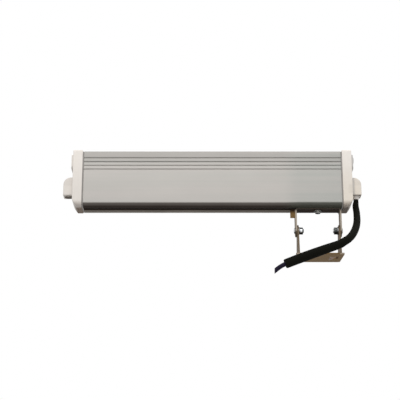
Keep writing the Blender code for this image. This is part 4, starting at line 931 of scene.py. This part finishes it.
def make_camera():
    """A long lens straight on to the front, from below."""
    scene = bpy.context.scene
    data = bpy.data.cameras.new("camera")
    data.lens = CAMERA_LENS
    data.sensor_width = CAMERA_SENSOR
    data.clip_end = 20.0
    camera = linked("camera", data)
    tilt = math.radians(CAMERA_TILT)
    away = Vector((0, math.cos(tilt), math.sin(tilt))) * CAMERA_DISTANCE
    camera.location = Vector(CAMERA_TARGET) - away
    camera.rotation_euler = (math.pi / 2 + tilt, 0, 0)
    scene.camera = camera
    scene.view_settings.view_transform = "Standard"


def make_lamp(name, place, target, width, height, power, colour):
    """A soft rectangular lamp that looks at a target."""
    data = bpy.data.lights.new(name, "AREA")
    data.shape = "RECTANGLE"
    data.size = width
    data.size_y = height
    data.energy = power
    data.color = colour
    lamp = linked(name, data)
    lamp.location = place
    lamp.rotation_euler = (Vector(target) - Vector(place)).to_track_quat("-Z", "Y").to_euler()


def make_world():
    """White to the camera, in reflections and through glass, and softer for everything else."""
    world = bpy.data.worlds.new("studio")
    world.use_nodes = True
    bpy.context.scene.world = world
    tree = world.node_tree
    shine = tree.nodes["Background"]
    shine.inputs["Color"].default_value = (1, 1, 1, 1)
    path = tree.nodes.new("ShaderNodeLightPath")
    seen = path.outputs["Is Camera Ray"]
    for ray in ("Is Glossy Ray", "Is Transmission Ray"):
        either = tree.nodes.new("ShaderNodeMath")
        either.operation = "MAXIMUM"
        tree.links.new(seen, either.inputs[0])
        tree.links.new(path.outputs[ray], either.inputs[1])
        seen = either.outputs[0]
    level = tree.nodes.new("ShaderNodeMapRange")
    level.inputs["To Min"].default_value = WORLD_FILL
    level.inputs["To Max"].default_value = 1.0
    tree.links.new(seen, level.inputs["Value"])
    tree.links.new(level.outputs[0], shine.inputs["Strength"])


def make_floor():
    """A wide pale floor well below the light, with a faint mottle."""
    signs = np.array([[-1, -1], [1, -1], [1, 1], [-1, 1]])
    corners = np.column_stack((signs * FLOOR_HALF, np.full(4, FLOOR_LEVEL)))
    mine = Finish("pale_floor")
    cloud = mine.even(3.0)
    material = mine.done(
        base_color=mine.shaded((0.86, 0.86, 0.855), 0.97 + 0.04 * cloud), roughness=0.9
    )
    mesh_piece("floor", corners, [[0, 1, 2, 3]], material, 40.0)


# Pieces


def sleeve_rings(inner):
    """The sleeve's rings about its route, and its length.

    It starts on the nozzle's tip. Its free end narrows a little, then turns in to a mouth round
    the cable that goes a short way inside.
    """
    wall, play, reach = 0.0006, 0.0003, 0.0060
    marks = np.array([(0, 0, NOZZLE_TIP, inner + wall), *SLEEVE_ROUTE])
    run = smooth_path(marks, SLEEVE_STEP)
    path = run[:, :3] + np.array(ENTRY)
    outside = run[:, 3]
    outside[-1] -= wall
    rows = pipe_rings(path, outside, SLEEVE_SIDES)
    mouth = pipe_rings(path[-2:], (inner + play,) * 2, SLEEVE_SIDES)[-1:]
    inset = mouth - path_frame(path)[0][-1] * reach
    return np.concatenate((rows, mouth, inset)), float(strides(path).sum())


def cable_path():
    """The cable's route from the top of the gland to its free end."""
    start = (0, 0, SLEEVE_HIGH.z - ENTRY.z)
    tip = (0, 0, NOZZLE_TIP)
    spots = np.array([start, tip, *(row[:3] for row in SLEEVE_ROUTE), *CABLE_ROUTE])
    return smooth_path(spots + np.array(ENTRY), CABLE_STEP)


def make_lead():
    """The cable from the gland to its end, which is cut upright, inside its sleeve."""
    inner = sizes().cable_radius
    rings, long = sleeve_rings(inner)
    weave = braid_finish("sleeve_weave", tuple(colours().sleeve), 210.0, 9.0)
    sleeve = lofted("lead_sleeve", rings, weave, 60.0)
    run_map(sleeve, len(rings), SLEEVE_SIDES, long)
    place_piece(sleeve, "cable_sleeve")

    path = cable_path()
    rings = pipe_rings(path, np.full(len(path), inner), CABLE_SIDES)
    way = path[-1] - path[-2]
    rings[-1] += (path[-1, 0] - rings[-1][:, :1]) / way[0] * way
    sheath = sheath_finish("lead_sheath", tuple(colours().cable))
    cable = lofted("lead_cable", rings, sheath, 60.0)
    place_piece(cable, "cable_end")


def slot_points():
    """Half of the base from inside the T slot to the guide rib's outer foot, as (y, z)."""
    broken, rib_broken = 0.0002, 0.0003
    rib_z = BASE_Z - RIB_HEIGHT
    return np.array(
        [
            (SLOT_HALF, BASE_Z + SLOT_HEIGHT),
            (SLOT_HALF, BASE_Z + SLOT_LIP),
            (SLOT_MOUTH_HALF, BASE_Z + SLOT_LIP),
            (SLOT_MOUTH_HALF, BASE_Z + broken),
            (SLOT_MOUTH_HALF + broken, BASE_Z),
            (RIB_INNER_Y, BASE_Z),
            (RIB_INNER_Y, rib_z + rib_broken),
            (RIB_INNER_Y + rib_broken, rib_z),
            (RIB_OUTER_Y, rib_z),
        ]
    )


def groove_points(middle):
    """One groove of the side from below, as (y, z): a broken edge on either side of a floor with
    rounded corners."""
    broken, turn = 0.0003, 0.0006
    floor = SIDE_Y - sizes().groove_depth
    low = middle - sizes().groove_width / 2
    high = middle + sizes().groove_width / 2
    return (
        np.array([(SIDE_Y, low - broken), (SIDE_Y - broken, low)]),
        bend((floor + turn, low + turn), turn, 270, 180, 4),
        bend((floor + turn, high - turn), turn, 180, 90, 4),
        np.array([(SIDE_Y - broken, high), (SIDE_Y, high + broken)]),
    )


def trough_points():
    """The window's trough from its rim down to the boards' ledge, as (y, z)."""
    rim_y = TROUGH_HALF - TROUGH_LIP_REACH
    return np.array(
        [
            (rim_y, TOP_Z),
            (rim_y, TOP_Z - TROUGH_LIP),
            (TROUGH_HALF, TOP_Z - TROUGH_LIP),
            (TROUGH_HALF, TOP_Z - LEDGE_BELOW_TOP),
            (LEDGE_HALF, TOP_Z - LEDGE_BELOW_TOP),
            (LEDGE_HALF, TOP_Z - TROUGH_DEPTH),
        ]
    )


def housing_outline():
    """The extrusion's section as (y, z): slot, guide rib, corner, grooved side, rim and trough."""
    radius, rim = sizes().corner_radius, 0.0006
    parts = [slot_points(), bend((SIDE_Y - radius, BASE_Z + radius), radius, -72, 0, 14)]
    for depth in GROOVES_BELOW_TOP:
        parts.extend(groove_points(TOP_Z - depth))
    parts.append(bend((SIDE_Y - rim, TOP_Z - rim), rim, 0, 90, 4))
    parts.append(trough_points())
    return mirror_half(np.vstack(parts))


def make_housing():
    """The extrusion: its section carried along X."""
    outline = housing_outline()
    reach = np.linspace(HOUSING_LOW.x, HOUSING_HIGH.x, 12)
    rings = np.empty((len(reach), len(outline), 3))
    rings[:, :, 0] = reach[:, None]
    rings[:, :, 1:] = outline[None]
    place_piece(lofted("housing_extrusion", rings, extrusion_finish(), 30.0), "housing")


def cast_copy(node, material):
    """A casting: a copy of the CAD cap rebuilt in small cells and relaxed, so that its edges and
    inner corners turn round as a poured part's do."""
    made = linked(node + "_cast", merged_mesh(node, node + "_cast", False))
    cells = made.modifiers.new("cells", "REMESH")
    cells.mode = "VOXEL"
    cells.voxel_size = sizes().cast_voxel
    cells.use_smooth_shade = True
    relax = made.modifiers.new("relax", "SMOOTH")
    relax.factor = 0.6
    relax.iterations = 8
    bpy.context.view_layer.update()
    graph = bpy.context.evaluated_depsgraph_get()
    final = bpy.data.meshes.new_from_object(made.evaluated_get(graph))
    made.modifiers.clear()
    made.data = final
    final.materials.clear()
    final.materials.append(material)
    final.shade_smooth()
    place_piece(made, node)


def make_caps():
    """Both castings with their gaskets, screws, vent, plug and gland."""
    paint = casting_finish()
    cast_copy("end_cap_right", paint)
    cast_copy("end_cap_left", paint)
    rubber = rubber_finish("seal_rubber", (0.022, 0.021, 0.020))
    grey = rubber_finish("gasket_rubber", (0.36, 0.34, 0.325))
    pale = moulding_finish("pale_moulding", (0.70, 0.66, 0.62), 0.45)
    vent = moulding_finish("grey_moulding", (0.50, 0.48, 0.45), 0.38)
    steel = screw_finish()
    refine_all(grey, SMALL_EDGE, "cap_gasket")
    dress(rubber, "gland_bush", "plug_seal")
    refined("vent_plug", vent, SMALL_EDGE)
    refined("blanking_plug", plug_finish(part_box("blanking_plug")[0].z), SMALL_EDGE)
    refined("gland_ring", pale, SMALL_EDGE)
    refine_all(steel, FINE_EDGE, "cap_screw")


def make_window():
    """Pane, bars and seals over the trough."""
    dress(pane_finish(), "window_glass")
    refine_all(plated_finish("window_bar_plate", (0.42, 0.42, 0.41)), SOFT_EDGE, "window_bar")
    refine_all(rubber_finish("window_rubber", (0.03, 0.03, 0.03)), SMALL_EDGE, "window_seal")


def make_lights():
    """Boards, optics and board screws in the trough."""
    refine_all(board_finish(), FINE_EDGE, "led_board")
    refine_all(optic_finish(), SOFT_EDGE, "lens_strip")
    refine_all(screw_finish(), FINE_EDGE, "board_screw")


def make_inside():
    """Tray, driver, terminals and the leads in the chamber."""
    shell = plated_finish("driver_plate", (0.56, 0.57, 0.57))
    pale = moulding_finish("terminal_moulding", (0.60, 0.58, 0.53), 0.42)
    wire = sheath_finish("inner_sheath", (0.018, 0.016, 0.030))
    refined("driver_tray", plated_finish("tray_plate", (0.45, 0.45, 0.44)), SMALL_EDGE)
    refined("driver", shell, SOFT_EDGE)
    refined("terminal_block", pale, SOFT_EDGE)
    refine_all(screw_finish(), FINE_EDGE, "driver_screw", "terminal_screw")
    dress(wire, "supply_tail", "driver_input_lead", "led_lead")


def make_bracket():
    """Both yokes, with softened sheet edges."""
    web_below_base = 0.0075
    edge = sizes().sheet_edge
    brown = tuple(colours().bracket)
    upper_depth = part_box("upper_yoke")[1].y
    upper = sheet_finish("upper_sheet", brown, upper_depth, BASE_Z - web_below_base)
    lower = sheet_finish("lower_sheet", brown, ARM_ROOT_HALF_DEPTH, BASE_Z)
    refined("upper_yoke", upper, edge)
    refined("lower_yoke", lower, edge)


def make_fasteners():
    """Bolts, nuts and washers of the bracket.

    The left nut has a painted highlight in the middle of its flats only, a little below the pivot's
    axis.
    """
    near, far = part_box("pivot_nut_left")
    pivot = (near.z + far.z) / 2
    # Bright colours here are painted highlights, and the dark ones painted dark reflections.
    silver, white_steel, dull = (0.50, 0.51, 0.51), (0.80, 0.82, 0.84), (0.075, 0.080, 0.078)
    blue, black, dark_reflection = (0.020, 0.026, 0.030), (0.020, 0.022, 0.022), (0.16, 0.15, 0.135)
    middle = (near.x + 0.0010, far.x - 0.0014)
    left = bolt_finish("left_nut_steel", pivot - 0.0016, white_steel, blue, middle)
    shank = bolt_finish("left_bolt_steel", pivot, silver, blue, (-1.0, near.x))
    right = bolt_finish("right_nut_steel", pivot, dull, black)
    outer = bolt_finish("bolt_steel", pivot, silver, dark_reflection)
    refined("pivot_nut_left", left, SMALL_EDGE)
    refined("pivot_nut_right", right, SMALL_EDGE)
    refined("pivot_bolt_left", shank, SMALL_EDGE)
    refine_all(outer, SMALL_EDGE, "pivot_bolt_right", "pivot_washer")
    refined("web_bolt", web_bolt_finish(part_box("web_bolt")[0].z), SMALL_EDGE)
    refined("slot_nut", outer, SMALL_EDGE)


class StageOperator(bpy.types.Operator):
    """Camera, lamps, world and floor"""

    bl_idname = "floodlight.stage"
    bl_label = "Stage"

    def execute(self, context):
        make_camera()
        make_world()
        make_floor()
        for lamp in LAMPS:
            make_lamp(*lamp)
        return {"FINISHED"}


class LeadOperator(bpy.types.Operator):
    """Cable and sleeve"""

    bl_idname = "floodlight.lead"
    bl_label = "Lead"

    def execute(self, context):
        make_lead()
        return {"FINISHED"}


class HousingOperator(bpy.types.Operator):
    """Grooved extrusion"""

    bl_idname = "floodlight.housing"
    bl_label = "Housing"

    def execute(self, context):
        make_housing()
        return {"FINISHED"}


class CapsOperator(bpy.types.Operator):
    """Cast caps with what is fitted to them"""

    bl_idname = "floodlight.caps"
    bl_label = "End caps"

    def execute(self, context):
        make_caps()
        return {"FINISHED"}


class WindowOperator(bpy.types.Operator):
    """Pane, bars and seals"""

    bl_idname = "floodlight.window"
    bl_label = "Window"

    def execute(self, context):
        make_window()
        return {"FINISHED"}


class LightsOperator(bpy.types.Operator):
    """Light boards and optics"""

    bl_idname = "floodlight.lights"
    bl_label = "Light boards"

    def execute(self, context):
        make_lights()
        return {"FINISHED"}


class InsideOperator(bpy.types.Operator):
    """Driver, tray, terminals and inner leads"""

    bl_idname = "floodlight.inside"
    bl_label = "Inside"

    def execute(self, context):
        make_inside()
        return {"FINISHED"}


class BracketOperator(bpy.types.Operator):
    """Upper and lower yoke"""

    bl_idname = "floodlight.bracket"
    bl_label = "Bracket"

    def execute(self, context):
        make_bracket()
        return {"FINISHED"}


class FastenersOperator(bpy.types.Operator):
    """Bolts, nuts and washers"""

    bl_idname = "floodlight.fasteners"
    bl_label = "Fasteners"

    def execute(self, context):
        make_fasteners()
        return {"FINISHED"}


OPERATORS = (
    StageOperator,
    LeadOperator,
    HousingOperator,
    CapsOperator,
    WindowOperator,
    LightsOperator,
    InsideOperator,
    BracketOperator,
    FastenersOperator,
)


class FloodlightPanel(bpy.types.Panel):
    """Lists the settings and the steps."""

    bl_idname = "VIEW3D_PT_floodlight"
    bl_label = "Floodlight"
    bl_space_type = "VIEW_3D"
    bl_region_type = "UI"
    bl_category = "Floodlight"

    def draw(self, context):
        column = self.layout.column()
        for group in (sizes(), colours()):
            for name in group.__annotations__:
                column.prop(group, name)
        for operator in OPERATORS:
            column.operator(operator.bl_idname)


CLASSES = (FloodlightSizes, FloodlightColours, *OPERATORS, FloodlightPanel)


def register():
    """Registers the classes and hangs the settings on the scene."""
    for item in CLASSES:
        bpy.utils.register_class(item)
    bpy.types.Scene.floodlight_sizes = bpy.props.PointerProperty(type=FloodlightSizes)
    bpy.types.Scene.floodlight_colours = bpy.props.PointerProperty(type=FloodlightColours)


def unregister():
    """Takes the settings and the classes away again."""
    del bpy.types.Scene.floodlight_colours
    del bpy.types.Scene.floodlight_sizes
    for item in reversed(CLASSES):
        bpy.utils.unregister_class(item)


def main():
    """Builds everything in order."""
    register()
    bpy.ops.floodlight.stage()
    bpy.ops.floodlight.lead()
    bpy.ops.floodlight.housing()
    bpy.ops.floodlight.caps()
    bpy.ops.floodlight.window()
    bpy.ops.floodlight.lights()
    bpy.ops.floodlight.inside()
    bpy.ops.floodlight.bracket()
    bpy.ops.floodlight.fasteners()


if __name__ == "__main__":
    main()
